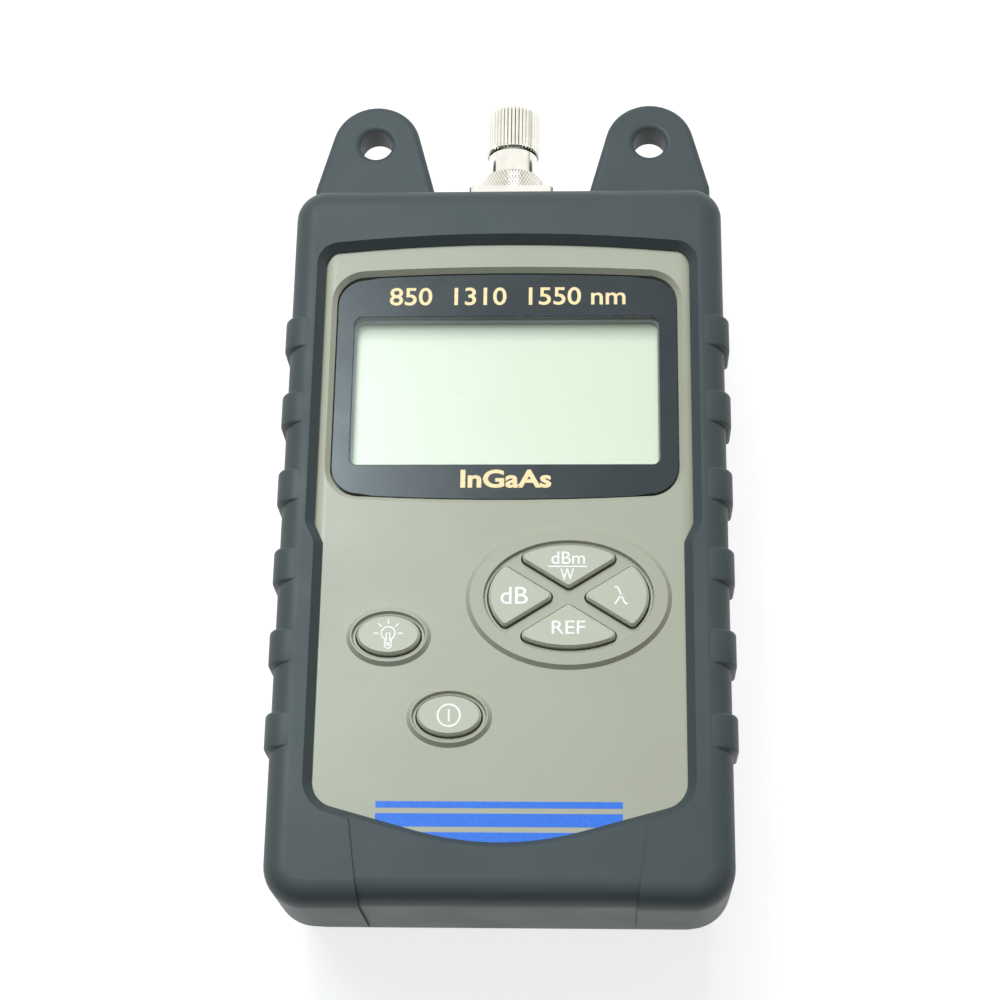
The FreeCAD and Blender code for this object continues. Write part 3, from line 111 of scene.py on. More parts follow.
class Nodes:
    """A node tree whose nodes are added, set and fed in one call."""

    def __init__(self, tree: bpy.types.NodeTree) -> None:
        """Take a tree to build in.

        Args:
            tree: The tree.
        """
        self.tree = tree

    def feed(self, socket: Socket, value: object) -> None:
        """Link a socket if the value is one, or else set it.

        Args:
            socket: The socket to feed.
            value: A socket, a number, a vector or a colour of three channels.
        """
        if isinstance(value, Socket):
            self.tree.links.new(value, socket)
        elif socket.type == "RGBA":
            socket.default_value = (*value, 1.0)
        else:
            socket.default_value = value

    def node(self, kind: str, sockets: dict[object, object] | None = None,
             **settings: object) -> bpy.types.Node:
        """Add a node, set its attributes and feed its sockets.

        Args:
            kind: Blender's name of the node.
            sockets: Values or sockets by input name or number.
            settings: Attributes of the node.

        Returns:
            The node.
        """
        made = self.tree.nodes.new(kind)
        for key, value in settings.items():
            setattr(made, key, value)
        for key, value in (sockets or {}).items():
            self.feed(made.inputs[key], value)
        return made

    def maths(self, operation: str, *values: object) -> Socket:
        """Combine values and return the result's socket."""
        return self.node("ShaderNodeMath", dict(enumerate(values)), operation=operation).outputs[0]

    def vector(self, x: object, y: object, z: object) -> Socket:
        """Combine three values into a vector."""
        return self.node("ShaderNodeCombineXYZ", {0: x, 1: y, 2: z}).outputs[0]

    def span(self, value: Socket, low: float, high: float, to_low: object, to_high: object) -> Socket:
        """Map a value from one range to another, clamped.

        Args:
            value: The value.
            low: Start of its range.
            high: End of its range.
            to_low: What the start becomes.
            to_high: What the end becomes.

        Returns:
            The mapped value's socket.
        """
        return self.node("ShaderNodeMapRange", {
            "Value": value, "From Min": low, "From Max": high, "To Min": to_low,
            "To Max": to_high}).outputs["Result"]


# ---------------------------------------------------------------- finishes

class Painter(Nodes):
    """Builds one material's node tree round a Principled shader."""

    def __init__(self, name: str) -> None:
        """Start a material with nothing but its shader.

        Args:
            name: The material's name.
        """
        self.material = bpy.data.materials.new(name)
        self.material.use_nodes = True
        super().__init__(self.material.node_tree)
        self.tree.nodes.clear()
        self.shader = self.node("ShaderNodeBsdfPrincipled")
        self.output = self.node("ShaderNodeOutputMaterial", {0: self.shader.outputs[0]})
        self.place = self.node("ShaderNodeTexCoord").outputs["Object"]

    def noise(self, scale: float, detail: float, stretch: Triple = (1.0, 1.0, 1.0)) -> Socket:
        """Add noise over the piece.

        Args:
            scale: Grains per metre.
            detail: Octaves.
            stretch: Factors on X, Y and Z.

        Returns:
            The noise's value socket.
        """
        mapping = self.node("ShaderNodeMapping", {"Vector": self.place, "Scale": stretch})
        made = self.node("ShaderNodeTexNoise", {
            "Vector": mapping.outputs[0], "Scale": scale, "Detail": detail})
        return made.outputs["Fac"]

    def mottle(self, scale: float, detail: float, low: float = 0.0, high: float = 1.0,
               band: Point = (0.3, 0.7), stretch: Triple = (1.0, 1.0, 1.0)) -> Socket:
        """Add noise that wanders between two values.

        Args:
            scale: Grains per metre.
            detail: Octaves.
            low: The lower value.
            high: The higher value.
            band: The part of the noise that is spread over those values.
            stretch: Factors on X, Y and Z.

        Returns:
            The value's socket.
        """
        return self.span(self.noise(scale, detail, stretch), *band, low, high)

    def blend(self, share: object, first: object, second: object, way: str = "MIX") -> Socket:
        """Mix two colours.

        Args:
            share: How much of the second, a number or a socket.
            first: A colour or a socket.
            second: A colour or a socket.
            way: Blender's name for the kind of mix.

        Returns:
            The mixed colour's socket.
        """
        return self.node("ShaderNodeMix", {0: share, 6: first, 7: second}, data_type="RGBA",
                         blend_type=way).outputs[2]

    def axes(self) -> list[Socket]:
        """Return the place on the piece as three separate sockets."""
        return list(self.node("ShaderNodeSeparateXYZ", {0: self.place}).outputs)

    def bump(self, height: Socket, strength: float, depth: float) -> None:
        """Raise the surface by a height in metres."""
        raised = self.node("ShaderNodeBump", {"Strength": strength, "Distance": depth, "Height": height})
        self.set(Normal=raised.outputs[0])

    def show(self, share: object, first: Socket, second: Socket) -> None:
        """Mix two shaders, by a share of the second, and send the mix to the output."""
        both = self.node("ShaderNodeMixShader", {0: share, 1: first, 2: second})
        self.feed(self.output.inputs[0], both.outputs[0])

    def set(self, **values: object) -> None:
        """Set or link sockets of the shader; words joined by underscores name them."""
        for key, value in values.items():
            self.feed(self.shader.inputs[key.replace("_", " ")], value)


@dataclass(frozen=True)
class Moulded:
    """Moulded rubber or plastic with a fine grain and faint changes of tone."""

    name: str
    colour: Colour
    roughness: float
    grain: float = 2200.0
    grain_depth: float = 0.02 * MM
    relief: float = 0.35
    tone: float = 0.06
    gloss: float = 1.5
    cloud: float = 35.0
    wear_scale: float = 90.0
    wear: float = 0.04

    def material(self) -> bpy.types.Material:
        """Build the material.

        Returns:
            The material.
        """
        paint = Painter(self.name)
        colour = paint.blend(paint.mottle(self.cloud, 3.0), toned(self.colour, 1 - self.tone),
                             toned(self.colour, 1 + self.tone))
        speck = paint.mottle(self.grain, 1.0, 1 - self.tone / 2, 1 + self.tone / 2, (0.35, 0.65))
        worn = paint.mottle(self.wear_scale, 4.0, self.roughness - self.wear, self.roughness + self.wear)
        paint.set(Base_Color=paint.blend(1.0, colour, speck, "MULTIPLY"), Roughness=worn,
                  IOR=self.gloss)
        paint.bump(paint.noise(self.grain, 2.0), self.relief, self.grain_depth)
        return paint.material


@dataclass(frozen=True)
class Grooves:
    """Where grooves round a line along Y lie, so that their colour can be darkened below the crests as
    painted shade.
    """

    floor: float
    crest: float
    end: float
    # The factor on the metal's colour deep in the grooves: painted shade of the crevices.
    shade_factor: float
    axis: float = PORT_HEIGHT
    margin: float = 0.03 * MM

    def share(self, paint: Painter) -> Socket:
        """Find how deep in a groove a place is.

        Args:
            paint: The material's painter.

        Returns:
            The socket of a value from 0 to 1.
        """
        across, along, up = paint.axes()
        rise = paint.maths("SUBTRACT", up, self.axis)
        radius = paint.maths("SQRT", paint.maths("ADD", paint.maths("MULTIPLY", across, across),
                                                 paint.maths("MULTIPLY", rise, rise)))
        inner = self.floor - self.margin
        depth = paint.maths("MULTIPLY", paint.span(radius, self.floor, self.crest, 1.0, 0.0),
                            paint.span(radius, inner - self.margin, inner, 0.0, 1.0))
        return paint.maths("MULTIPLY", depth, paint.maths("LESS_THAN", along, self.end))


@dataclass(frozen=True)
class Plated:
    """Plated or plain metal with fine machining marks, and painted shade in its grooves when they are
    given.
    """

    name: str
    colour: Colour
    roughness: float
    marks: Triple = (1.0, 1.0, 1.0)
    relief: float = 0.08
    grooves: Grooves | None = None
    dull: float = 0.92
    cloud: float = 400.0
    mark_scale: float = 900.0
    pit_scale: float = 2500.0
    pit_depth: float = 0.01 * MM

    def material(self) -> bpy.types.Material:
        """Build the material.

        Returns:
            The material.
        """
        paint = Painter(self.name)
        colour = paint.blend(paint.mottle(self.cloud, 3.0, band=(0.35, 0.65)), self.colour,
                             toned(self.colour, self.dull))
        if self.grooves:
            # Painted shade: the colour is darkened deep in the grooves, where shade falls.
            groove_shade = toned(self.colour, self.grooves.shade_factor)
            colour = paint.blend(self.grooves.share(paint), colour, groove_shade)
        turned = paint.mottle(self.mark_scale, 3.0, self.roughness * 0.75, self.roughness * 1.35,
                              stretch=self.marks)
        paint.set(Base_Color=colour, Metallic=1.0, Roughness=turned)
        paint.bump(paint.noise(self.pit_scale, 2.0, self.marks), self.relief, self.pit_depth)
        return paint.material


@dataclass(frozen=True)
class Printed:
    """Ink or foil printed on a surface."""

    name: str
    colour: Colour
    roughness: float = 0.45
    thin: float = 0.86
    cover: float = 1500.0
    grain: float = 3000.0
    grain_depth: float = 0.01 * MM

    def material(self) -> bpy.types.Material:
        """Build the material.

        Returns:
            The material.
        """
        paint = Painter(self.name)
        cover = paint.mottle(self.cover, 3.0, band=(0.35, 0.6))
        paint.set(Base_Color=paint.blend(cover, toned(self.colour, self.thin), self.colour),
                  Roughness=self.roughness)
        paint.bump(paint.noise(self.grain, 2.0), 0.1, self.grain_depth)
        return paint.material


@dataclass(frozen=True)
class Pane:
    """A clear sheet that lets light through and reflects the room by angle."""

    name: str
    index: float = 1.49
    roughness: float = 0.22
    smear: float = 60.0

    def material(self) -> bpy.types.Material:
        """Build the material; only faces turned to the viewer reflect.

        Returns:
            The material.
        """
        paint = Painter(self.name)
        clear = paint.node("ShaderNodeBsdfTransparent")
        smear = paint.mottle(self.smear, 3.0, self.roughness * 0.8, self.roughness * 1.4, (0.35, 0.65))
        gloss = paint.node("ShaderNodeBsdfGlossy", {"Roughness": smear})
        angle = paint.node("ShaderNodeFresnel", {"IOR": self.index})
        side = paint.node("ShaderNodeNewGeometry").outputs["Backfacing"]
        share = paint.maths("MULTIPLY", angle.outputs[0], paint.maths("SUBTRACT", 1.0, side))
        paint.show(share, clear.outputs[0], gloss.outputs[0])
        paint.tree.nodes.remove(paint.shader)
        return paint.material


@dataclass(frozen=True)
class LiquidCrystal:
    """The reflective display: pale green, with the faint grid of its electrodes, and a faint painted
    glow that lightens it though it is unlit.
    """

    name: str
    colour: Colour
    pitch: float = 0.9 * MM
    line: float = 0.06
    # Emission strength of a painted glow that brightens the display beyond the lamps' light.
    glow: float = 0.17
    cloud: float = 25.0
    cloud_tone: float = 0.97
    line_tone: float = 0.985

    def material(self) -> bpy.types.Material:
        """Build the material.

        Returns:
            The material.
        """
        paint = Painter(self.name)
        lines = [paint.span(paint.maths("PINGPONG", axis, self.pitch / 2), 0.0, self.pitch * self.line,
                            1.0, 0.0) for axis in paint.axes()[:2]]
        cloud = paint.blend(paint.mottle(self.cloud, 2.0), self.colour,
                            toned(self.colour, self.cloud_tone))
        grid = paint.blend(paint.maths("MAXIMUM", *lines), cloud, toned(self.colour, self.line_tone))
        # The emission here is painted light: the display has no lamp of its own.
        paint.set(Base_Color=grid, Roughness=0.35, IOR=1.5, Emission_Color=self.colour,
                  Emission_Strength=self.glow)
        return paint.material


@dataclass(frozen=True)
class CellSleeve:
    """A battery's printed sleeve: two plain colours and bare metal ends."""

    name: str
    low: float
    high: float
    dark: Colour = shade(38, 42, 50)
    light: Colour = shade(196, 142, 72)
    metal: Colour = shade(190, 188, 182)
    band: float = 0.255
    band_edge: float = 0.005
    bare: float = 0.008
    bare_edge: float = 0.004

    def material(self) -> bpy.types.Material:
        """Build the material.

        Returns:
            The material.
        """
        paint = Painter(self.name)
        along = paint.axes()[1]
        length = self.high - self.low
        band = paint.span(along, self.high - length * (self.band + self.band_edge),
                          self.high - length * self.band, 0.0, 1.0)
        inner, outer = length * (self.bare + self.bare_edge), length * self.bare
        bare = paint.maths("MAXIMUM", paint.span(along, self.high - inner, self.high - outer, 0.0, 1.0),
                           paint.span(along, self.low + outer, self.low + inner, 1.0, 0.0))
        sleeve = paint.blend(band, self.dark, self.light)
        paint.set(Base_Color=paint.blend(bare, sleeve, self.metal), Metallic=bare,
                  Roughness=paint.mottle(200.0, 3.0, 0.25, 0.4))
        return paint.material


@dataclass(frozen=True)
class CircuitBoard:
    """Solder mask over copper tracks."""

    name: str
    mask: Colour = shade(20, 92, 52)
    track: Colour = shade(44, 128, 78)
    tracks: float = 320.0
    track_depth: float = 0.03 * MM

    def material(self) -> bpy.types.Material:
        """Build the material.

        Returns:
            The material.
        """
        paint = Painter(self.name)
        cells = paint.node("ShaderNodeTexVoronoi", {"Vector": paint.place, "Scale": self.tracks},
                           distance="MANHATTAN")
        lines = paint.span(cells.outputs["Distance"], 0.42, 0.46, 0.0, 1.0)
        paint.set(Base_Color=paint.blend(lines, self.mask, self.track), Roughness=0.3)
        paint.bump(lines, 0.4, self.track_depth)
        return paint.material


Finish = Moulded | Plated | Printed | Pane | LiquidCrystal | CellSleeve | CircuitBoard
NICKEL = shade(243, 241, 231)
RUBBER = Moulded("boot_rubber", shade(50, 60, 62), 0.5, grain=1500.0, relief=0.22, tone=0.05)
PANEL = Moulded("panel_plastic", shade(164, 165, 147), 0.36, grain=2600.0, relief=0.5, tone=0.03)
KEY = Moulded("key_plastic", shade(182, 184, 166), 0.42, grain=2600.0, relief=0.4, tone=0.03)
BORDER = Moulded("lens_border", shade(19, 34, 38), 0.22, grain=900.0, relief=0.03, tone=0.05)
# A lining sheet round the display, coloured darker than the case to paint the shade on the walls of the
# window's opening.
SHADE_LINING = Moulded("display_gasket", shade(126, 138, 134), 0.7, tone=0.1)
MAT = Moulded("silicone_mat", shade(120, 124, 122), 0.6, tone=0.05)
CONTACT = Moulded("contact_rubber", shade(70, 70, 72), 0.6, tone=0.1)
GUIDE = Moulded("light_guide", shade(225, 235, 205), 0.25, tone=0.02)
SEAL = Moulded("seal_rubber", shade(40, 40, 42), 0.6, tone=0.1)
CERAMIC = Moulded("zirconia", shade(236, 232, 226), 0.15, tone=0.02)
CHROME = Plated("nickel_plate", NICKEL, 0.1)
# The serrated cap and the knurled nut have painted shade darkening the colour in their grooves.
SERRATED = Plated("serrated_nickel", NICKEL, 0.12,
                  grooves=Grooves(4.66 * MM, 4.9 * MM, 77.0 * MM, 0.25))
KNURLED = Plated("knurled_nickel", NICKEL, 0.15,
                 grooves=Grooves(5.44 * MM, 5.51 * MM, 63.45 * MM, 0.5))
TURNED = Plated("turned_nickel", NICKEL, 0.08, marks=(1.0, 8.0, 1.0))
TIN = Plated("tin_plate", shade(196, 198, 196), 0.35)
ZINC = Plated("zinc_steel", shade(170, 172, 172), 0.35)
SPRING = Plated("spring_steel", shade(200, 198, 192), 0.25)
CAN = Plated("gold_flash", shade(214, 184, 118), 0.25)
WHITE_INK = Printed("white_ink", shade(249, 250, 244))
GOLD_INK = Printed("gold_ink", shade(250, 224, 170))
BLUE_INK = Printed("blue_ink", shade(38, 112, 222))
DISPLAY = LiquidCrystal("display_liquid_crystal", shade(200, 211, 189))
CLEAR = Pane("clear_pane")
BOARD = CircuitBoard("circuit_board")


class Finishes:
    """Builds each finish once and hands it out."""

    def __init__(self) -> None:
        """Start with no material made."""
        self.made: dict[str, bpy.types.Material] = {}

    def __call__(self, finish: Finish) -> bpy.types.Material:
        """Hand out a finish's material.

        Args:
            finish: The finish.

        Returns:
            Its material.
        """
        if finish.name not in self.made:
            self.made[finish.name] = finish.material()
        return self.made[finish.name]


FINISH = Finishes()


def dress(node: str, finish: Finish) -> None:
    """Give a CAD node its finish.

    Args:
        node: The node's name.
        finish: The finish.
    """
    piece = FRAME["nodes"][node]
    piece.data.materials.clear()
    piece.data.materials.append(FINISH(finish))


# ---------------------------------------------------------------- pieces

def box(node: str) -> tuple[Vector, Vector]:
    """Return the lowest and the highest corner of a CAD node."""
    low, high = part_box(node)
    return Vector(low), Vector(high)


def stand(data: bpy.types.ID, name: str) -> Piece:
    """Put an object in the scene, at the origin.

    Args:
        data: Its mesh, curve, text, lamp or camera.
        name: Its name.

    Returns:
        The object.
    """
    made = bpy.data.objects.new(name, data)
    bpy.context.scene.collection.objects.link(made)
    return made


def formed(form: bmesh.types.BMesh, name: str) -> Piece:
    """End an edit mesh and stand it in the scene.

    Args:
        form: The edit mesh, which is freed.
        name: The new object's name.

    Returns:
        The mesh object.
    """
    mesh = bpy.data.meshes.new(name)
    form.to_mesh(mesh)
    form.free()
    return stand(mesh, name)


def seat(piece: Piece, finish: Finish | None, body: Part,
         replaced: tuple[str, ...] = ()) -> None:
    """Give a piece its finish and the body that it rides on.

    Args:
        piece: A mesh object at the origin.
        finish: One of the finishes above, or None if the piece has its own materials.
        body: The body that carries it.
        replaced: The nodes that it stands for.
    """
    if finish is not None:
        piece.data.materials.clear()
        piece.data.materials.append(FINISH(finish))
    if replaced:
        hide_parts(*replaced)
    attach(piece, body.value)
    LOG.info("%s rides on %s", piece.name, body.value)


def solid_of(curve: bpy.types.Curve, name: str, rise: float = 0.0) -> Piece:
    """Turn a curve or a text into a plain closed mesh.

    Args:
        curve: The curve or the text.
        name: The new object's name.
        rise: How far it is lifted.

    Returns:
        The mesh object.
    """
    item = stand(curve, name)
    bpy.context.view_layer.update()
    depsgraph = bpy.context.evaluated_depsgraph_get()
    mesh = bpy.data.meshes.new_from_object(item.evaluated_get(depsgraph))
    bpy.data.objects.remove(item, do_unlink=True)
    form = bmesh.new()
    form.from_mesh(mesh)
    bmesh.ops.remove_doubles(form, verts=form.verts, dist=WELD)
    bmesh.ops.dissolve_degenerate(form, edges=form.edges, dist=WELD)
    bmesh.ops.translate(form, vec=(0.0, 0.0, rise), verts=form.verts)
    bmesh.ops.recalc_face_normals(form, faces=form.faces)
    bpy.data.meshes.remove(mesh)
    return formed(form, name)


def arc(centre: Point, radius: float, start: float, end: float, steps: int) -> Loop:
    """Lay points along an arc.

    Args:
        centre: Its centre.
        radius: Its radius.
        start: The angle of its start, in degrees.
        end: The angle of its end, in degrees.
        steps: How many segments it has.

    Returns:
        The points.
    """
    angles = [math.radians(start + (end - start) * step / steps) for step in range(steps + 1)]
    return [(centre[0] + radius * math.cos(angle), centre[1] + radius * math.sin(angle))
            for angle in angles]


def rounded(corners: Loop, radius: float, steps: int = 8) -> Loop:
    """Round the corners of a convex, counterclockwise outline.

    Args:
        corners: The sharp corners.
        radius: The radius of the rounding.
        steps: Segments of each corner.

    Returns:
        The rounded outline.
    """
    points: Loop = []
    for before, corner, after in zip([corners[-1], *corners], corners, [*corners[1:], corners[0]]):
        here = Vector(corner)
        back, on = (Vector(before) - here).normalized(), (Vector(after) - here).normalized()
        half = back.angle(on) / 2
        centre = here + (back + on).normalized() * (radius / math.sin(half))
        first = here + back * (radius / math.tan(half)) - centre
        sweep = math.pi - half * 2
        for step in range(steps + 1):
            angle = sweep * step / steps
            points.append((centre.x + first.x * math.cos(angle) - first.y * math.sin(angle),
                           centre.y + first.x * math.sin(angle) + first.y * math.cos(angle)))
    return points


def plate(name: str, loops: list[Loop], low: float, high: float, edge: float = 0.0,
          steps: int = 1) -> Piece:
    """Build a flat plate from outlines; the later ones are holes.

    Args:
        name: The object's name.
        loops: Outlines in metres.
        low: Height of the lower face.
        high: Height of the upper face.
        edge: Rounding of its edges.
        steps: How finely the edges are rounded.

    Returns:
        The plate as a mesh object.
    """
    curve = bpy.data.curves.new(name, "CURVE")
    curve.dimensions = "2D"
    curve.fill_mode = "BOTH"
    for loop in loops:
        spline = curve.splines.new("POLY")
        spline.points.add(len(loop) - 1)
        for point, (x, y) in zip(spline.points, loop):
            point.co = (x, y, 0.0, 1.0)
        spline.use_cyclic_u = True
    curve.extrude = (high - low) / 2 - edge
    curve.bevel_depth = edge
    curve.bevel_resolution = steps
    curve.offset = -edge
    return solid_of(curve, name, (high + low) / 2)


def lettering(name: str, words: str, middle: Point, size: Point, low: float,
              weight: float = 0.0) -> Piece:
    """Build printed words that read along X.

    Args:
        name: The object's name.
        words: What is written.
        middle: Middle of the words.
        size: Width and height of the words.
        low: Height of the surface under the print.
        weight: How far the strokes are let out, in ems.

    Returns:
        The print as a mesh object.
    """
    curve = bpy.data.curves.new(name, "FONT")
    curve.body = words
    curve.offset = weight
    curve.extrude = INK / 2
    curve.resolution_u = 4
    made = solid_of(curve, name)
    xs, ys, _ = zip(*(vertex.co for vertex in made.data.vertices))
    centre = ((min(xs) + max(xs)) / 2, (min(ys) + max(ys)) / 2, 0.0)
    fit = (size[0] / (max(xs) - min(xs)), size[1] / (max(ys) - min(ys)), 1.0, 1.0)
    made.data.transform(Matrix.Translation((*middle, low + INK / 2)) @ Matrix.Diagonal(fit)
                        @ Matrix.Translation(centre).inverted())
    return made


def strokes(name: str, paths: list[tuple[Loop, bool]], middle: Point, unit: float, width: float,
            low: float) -> Piece:
    """Build printed lines of even width.

    Args:
        name: The object's name.
        paths: Lines about the middle, each with whether it closes on itself.
        middle: Middle of the print.
        unit: Size of the lines' unit.
        width: Width of the lines.
        low: Height of the surface under the print.

    Returns:
        The print as a mesh object.
    """
    section = ((1, low), (-1, low), (-1, low + INK), (1, low + INK))
    form = bmesh.new()
    for path, closed in paths:
        count = len(path)
        rows = []
        for number, (x, y) in enumerate(path):
            before = path[number - 1] if number or closed else path[number]
            after = path[(number + 1) % count] if number + 1 < count or closed else path[number]
            side = Vector((before[1] - after[1], after[0] - before[0])).normalized() * (width / 2)
            rows.append([form.verts.new((middle[0] + x * unit + side.x * way,
                                         middle[1] + y * unit + side.y * way, height))
                         for way, height in section])
        for number in range(count if closed else count - 1):
            first, second = rows[number], rows[(number + 1) % count]
            for corner, following in ((0, 1), (1, 2), (2, 3), (3, 0)):
                form.faces.new((first[corner], second[corner], second[following], first[following]))
        if not closed:
            form.faces.new(rows[0])
            form.faces.new(rows[-1][::-1])
    bmesh.ops.recalc_face_normals(form, faces=form.faces)
    return formed(form, name)


def merged(name: str, items: list[Piece]) -> Piece:
    """Join several mesh objects into one.

    Args:
        name: The new object's name.
        items: The objects, which are removed.

    Returns:
        The mesh object.
    """
    form = bmesh.new()
    for item in items:
        form.from_mesh(item.data)
        bpy.data.objects.remove(item, do_unlink=True)
    return formed(form, name)


def lathe(name: str, profile: Loop, centre: Vector, steps: int,
          flutes: dict[int, tuple[float, ...]] | None = None) -> Piece:
    """Turn a closed profile of (place along Y, radius) about a line along Y.

    Args:
        name: The object's name.
        profile: The profile, as a closed loop that stays off the axis or touches it at its ends.
        centre: A point on the line; its Y is left out.
        steps: Segments round the line.
        flutes: For some points of the profile, depths that repeat from segment to segment.

    Returns:
        The turned piece.
    """
    form = bmesh.new()
    rings = []
    for number, (along, radius) in enumerate(profile):
        depths = (flutes or {}).get(number, (0.0,))
        ring = []
        for step in range(steps if radius > 0 else 1):
            angle = math.tau * step / steps
            reach = radius - depths[step % len(depths)]
            ring.append(form.verts.new((centre.x + reach * math.sin(angle), along,
                                        centre.z + reach * math.cos(angle))))
        rings.append(ring)
    for first, second in zip(rings, [*rings[1:], rings[0]]):
        for step in range(steps):
            corners = [first[step % len(first)], first[(step + 1) % len(first)],
                       second[(step + 1) % len(second)], second[step % len(second)]]
            unique = list(dict.fromkeys(corners))
            if len(unique) > 2:
                form.faces.new(unique)
    bmesh.ops.recalc_face_normals(form, faces=form.faces)
    return formed(form, name)


def smooth(piece: Piece, degrees: float = SHARP_ANGLE) -> Piece:
    """Shade a piece smoothly, except across sharp edges.

    Args:
        piece: The piece.
        degrees: The angle from which an edge is sharp.

    Returns:
        The piece.
    """
    piece.data.shade_smooth()
    form = bmesh.new()
    form.from_mesh(piece.data)
    limit = math.radians(degrees)
    for edge in form.edges:
        edge.smooth = len(edge.link_faces) == 2 and edge.calc_face_angle(0.0) < limit
    form.to_mesh(piece.data)
    form.free()
    return piece


class Pattern(Nodes):
    """A geometry node tree that repeats or sweeps a shape, from named inputs to one mesh."""

    def __init__(self, name: str, finish: Finish, **inputs: float) -> None:
        """Start the tree.

        Args:
            name: The tree's and the piece's name.
            finish: The finish that the tree sets.
            inputs: Sizes and counts by name; whole numbers become integer inputs.
        """
        super().__init__(bpy.data.node_groups.new(name, "GeometryNodeTree"))
        self.name = name
        self.finish = finish
        self.tree.interface.new_socket("Geometry", in_out="OUTPUT", socket_type="NodeSocketGeometry")
        self.values: dict[str, float] = {}
        for key, value in inputs.items():
            kind = "NodeSocketInt" if isinstance(value, int) else "NodeSocketFloat"
            socket = self.tree.interface.new_socket(key, in_out="INPUT", socket_type=kind)
            self.values[socket.identifier] = value
        self.start = self.node("NodeGroupInput")

    def size(self, name: str) -> Socket:
        """Return a named input's socket."""
        return self.start.outputs[name]

    def row(self, start: object, step: object) -> Socket:
        """Lay a row of points, as many as the input Count says.

        Args:
            start: Where the first point lies.
            step: From one point to the next.

        Returns:
            The row's socket.
        """
        return self.node("GeometryNodeMeshLine", {
            "Count": self.size("Count"), "Start Location": start, "Offset": step}).outputs[0]

    def copies(self, points: Socket, shape: Socket, turn: object = (0.0, 0.0, 0.0)) -> Socket:
        """Set a copy of a shape on each point.

        Args:
            points: The points.
            shape: The shape.
            turn: How each copy is turned, as an Euler rotation.

        Returns:
            The copies' socket.
        """
        return self.node("GeometryNodeInstanceOnPoints", {
            "Points": points, "Instance": shape, "Rotation": turn}).outputs[0]

    def coil(self, foot: str, top: str, fineness: int, sides: int) -> Socket:
        """Wind a wire upwards, with the inputs Turns, Height and Wire.

        Args:
            foot: Name of the input that is the radius at the foot.
            top: Name of the input that is the radius at the top.
            fineness: Segments of each turn.
            sides: Sides of the wire.

        Returns:
            The coil's socket.
        """
        helix = self.node("GeometryNodeCurveSpiral", {
            "Resolution": fineness, "Rotations": self.size("Turns"), "Start Radius": self.size(foot),
            "End Radius": self.size(top), "Height": self.size("Height")})
        section = self.node("GeometryNodeCurvePrimitiveCircle", {
            "Resolution": sides, "Radius": self.size("Wire")})
        return self.node("GeometryNodeCurveToMesh", {
            "Curve": helix.outputs[0], "Profile Curve": section.outputs[0],
            "Fill Caps": True}).outputs[0]

    def make(self, geometry: Socket) -> Piece:
        """End the tree, run it and return its result as a plain mesh object.

        Args:
            geometry: The last geometry socket.

        Returns:
            The mesh object.
        """
        real = self.node("GeometryNodeRealizeInstances", {0: geometry})
        dressed = self.node("GeometryNodeSetMaterial", {"Geometry": real.outputs[0],
                                                        "Material": FINISH(self.finish)})
        self.node("NodeGroupOutput", {0: dressed.outputs[0]})
        carrier = stand(bpy.data.meshes.new(self.name), self.name)
        modifier = carrier.modifiers.new(self.name, "NODES")
        modifier.node_group = self.tree
        for identifier, value in self.values.items():
            modifier[identifier] = value
        bpy.context.view_layer.update()
        depsgraph = bpy.context.evaluated_depsgraph_get()
        mesh = bpy.data.meshes.new_from_object(carrier.evaluated_get(depsgraph))
        bpy.data.objects.remove(carrier, do_unlink=True)
        mesh.name = self.name
        return stand(mesh, self.name)


# ---------------------------------------------------------------- sub-assemblies

@dataclass
class Boot:
    """The rubber boot, and where its grip pads wrap onto its front."""

    pads: int = 6
    first: float = 23.15 * MM
    pitch: float = 14.47 * MM
    length: float = 6.46 * MM
    radius: float = 4.0 * MM
    inner: float = 34.8 * MM
    foot: float = 33.0 * MM
    edge: float = 0.7 * MM
    skin: float = 0.03 * MM

    def build(self) -> None:
        """Dress the boot and wrap its pads."""
        dress("rubber_boot", RUBBER)
        pad = self.pad()
        grips = Pattern("grip_pads", RUBBER, Count=self.pads, First=self.first, Pitch=-self.pitch)
        shape = grips.node("GeometryNodeObjectInfo", {"Object": pad}).outputs["Geometry"]
        row = grips.row(grips.vector(0.0, grips.size("First"), 0.0),
                        grips.vector(0.0, grips.size("Pitch"), 0.0))
        sides = grips.node("GeometryNodeJoinGeometry")
        for turn in (0.0, math.pi):
            grips.feed(sides.inputs[0], grips.copies(row, shape, (0.0, 0.0, turn)))
        wrapped = grips.make(sides.outputs[0])
        bpy.data.objects.remove(pad, do_unlink=True)
        seat(smooth(wrapped), None, Part.METER)

    def pad(self) -> Piece:
        """Build one pad on the right side, with its middle at Y = 0.

        Returns:
            The pad as a mesh object.
        """
        _, high = box("rubber_boot")
        outer, front = high.x - self.skin, high.z - self.skin
        bend = arc((outer - self.radius, front - self.radius), self.radius, 0, 90, 12)
        profile = [(self.inner, self.foot), (outer, self.foot), *bend, (self.inner, front)]
        pad = plate("pad", [profile], -self.length / 2, self.length / 2, self.edge, 4)
        pad.data.transform(Matrix.Rotation(math.pi / 2, 4, "X"))
        return pad


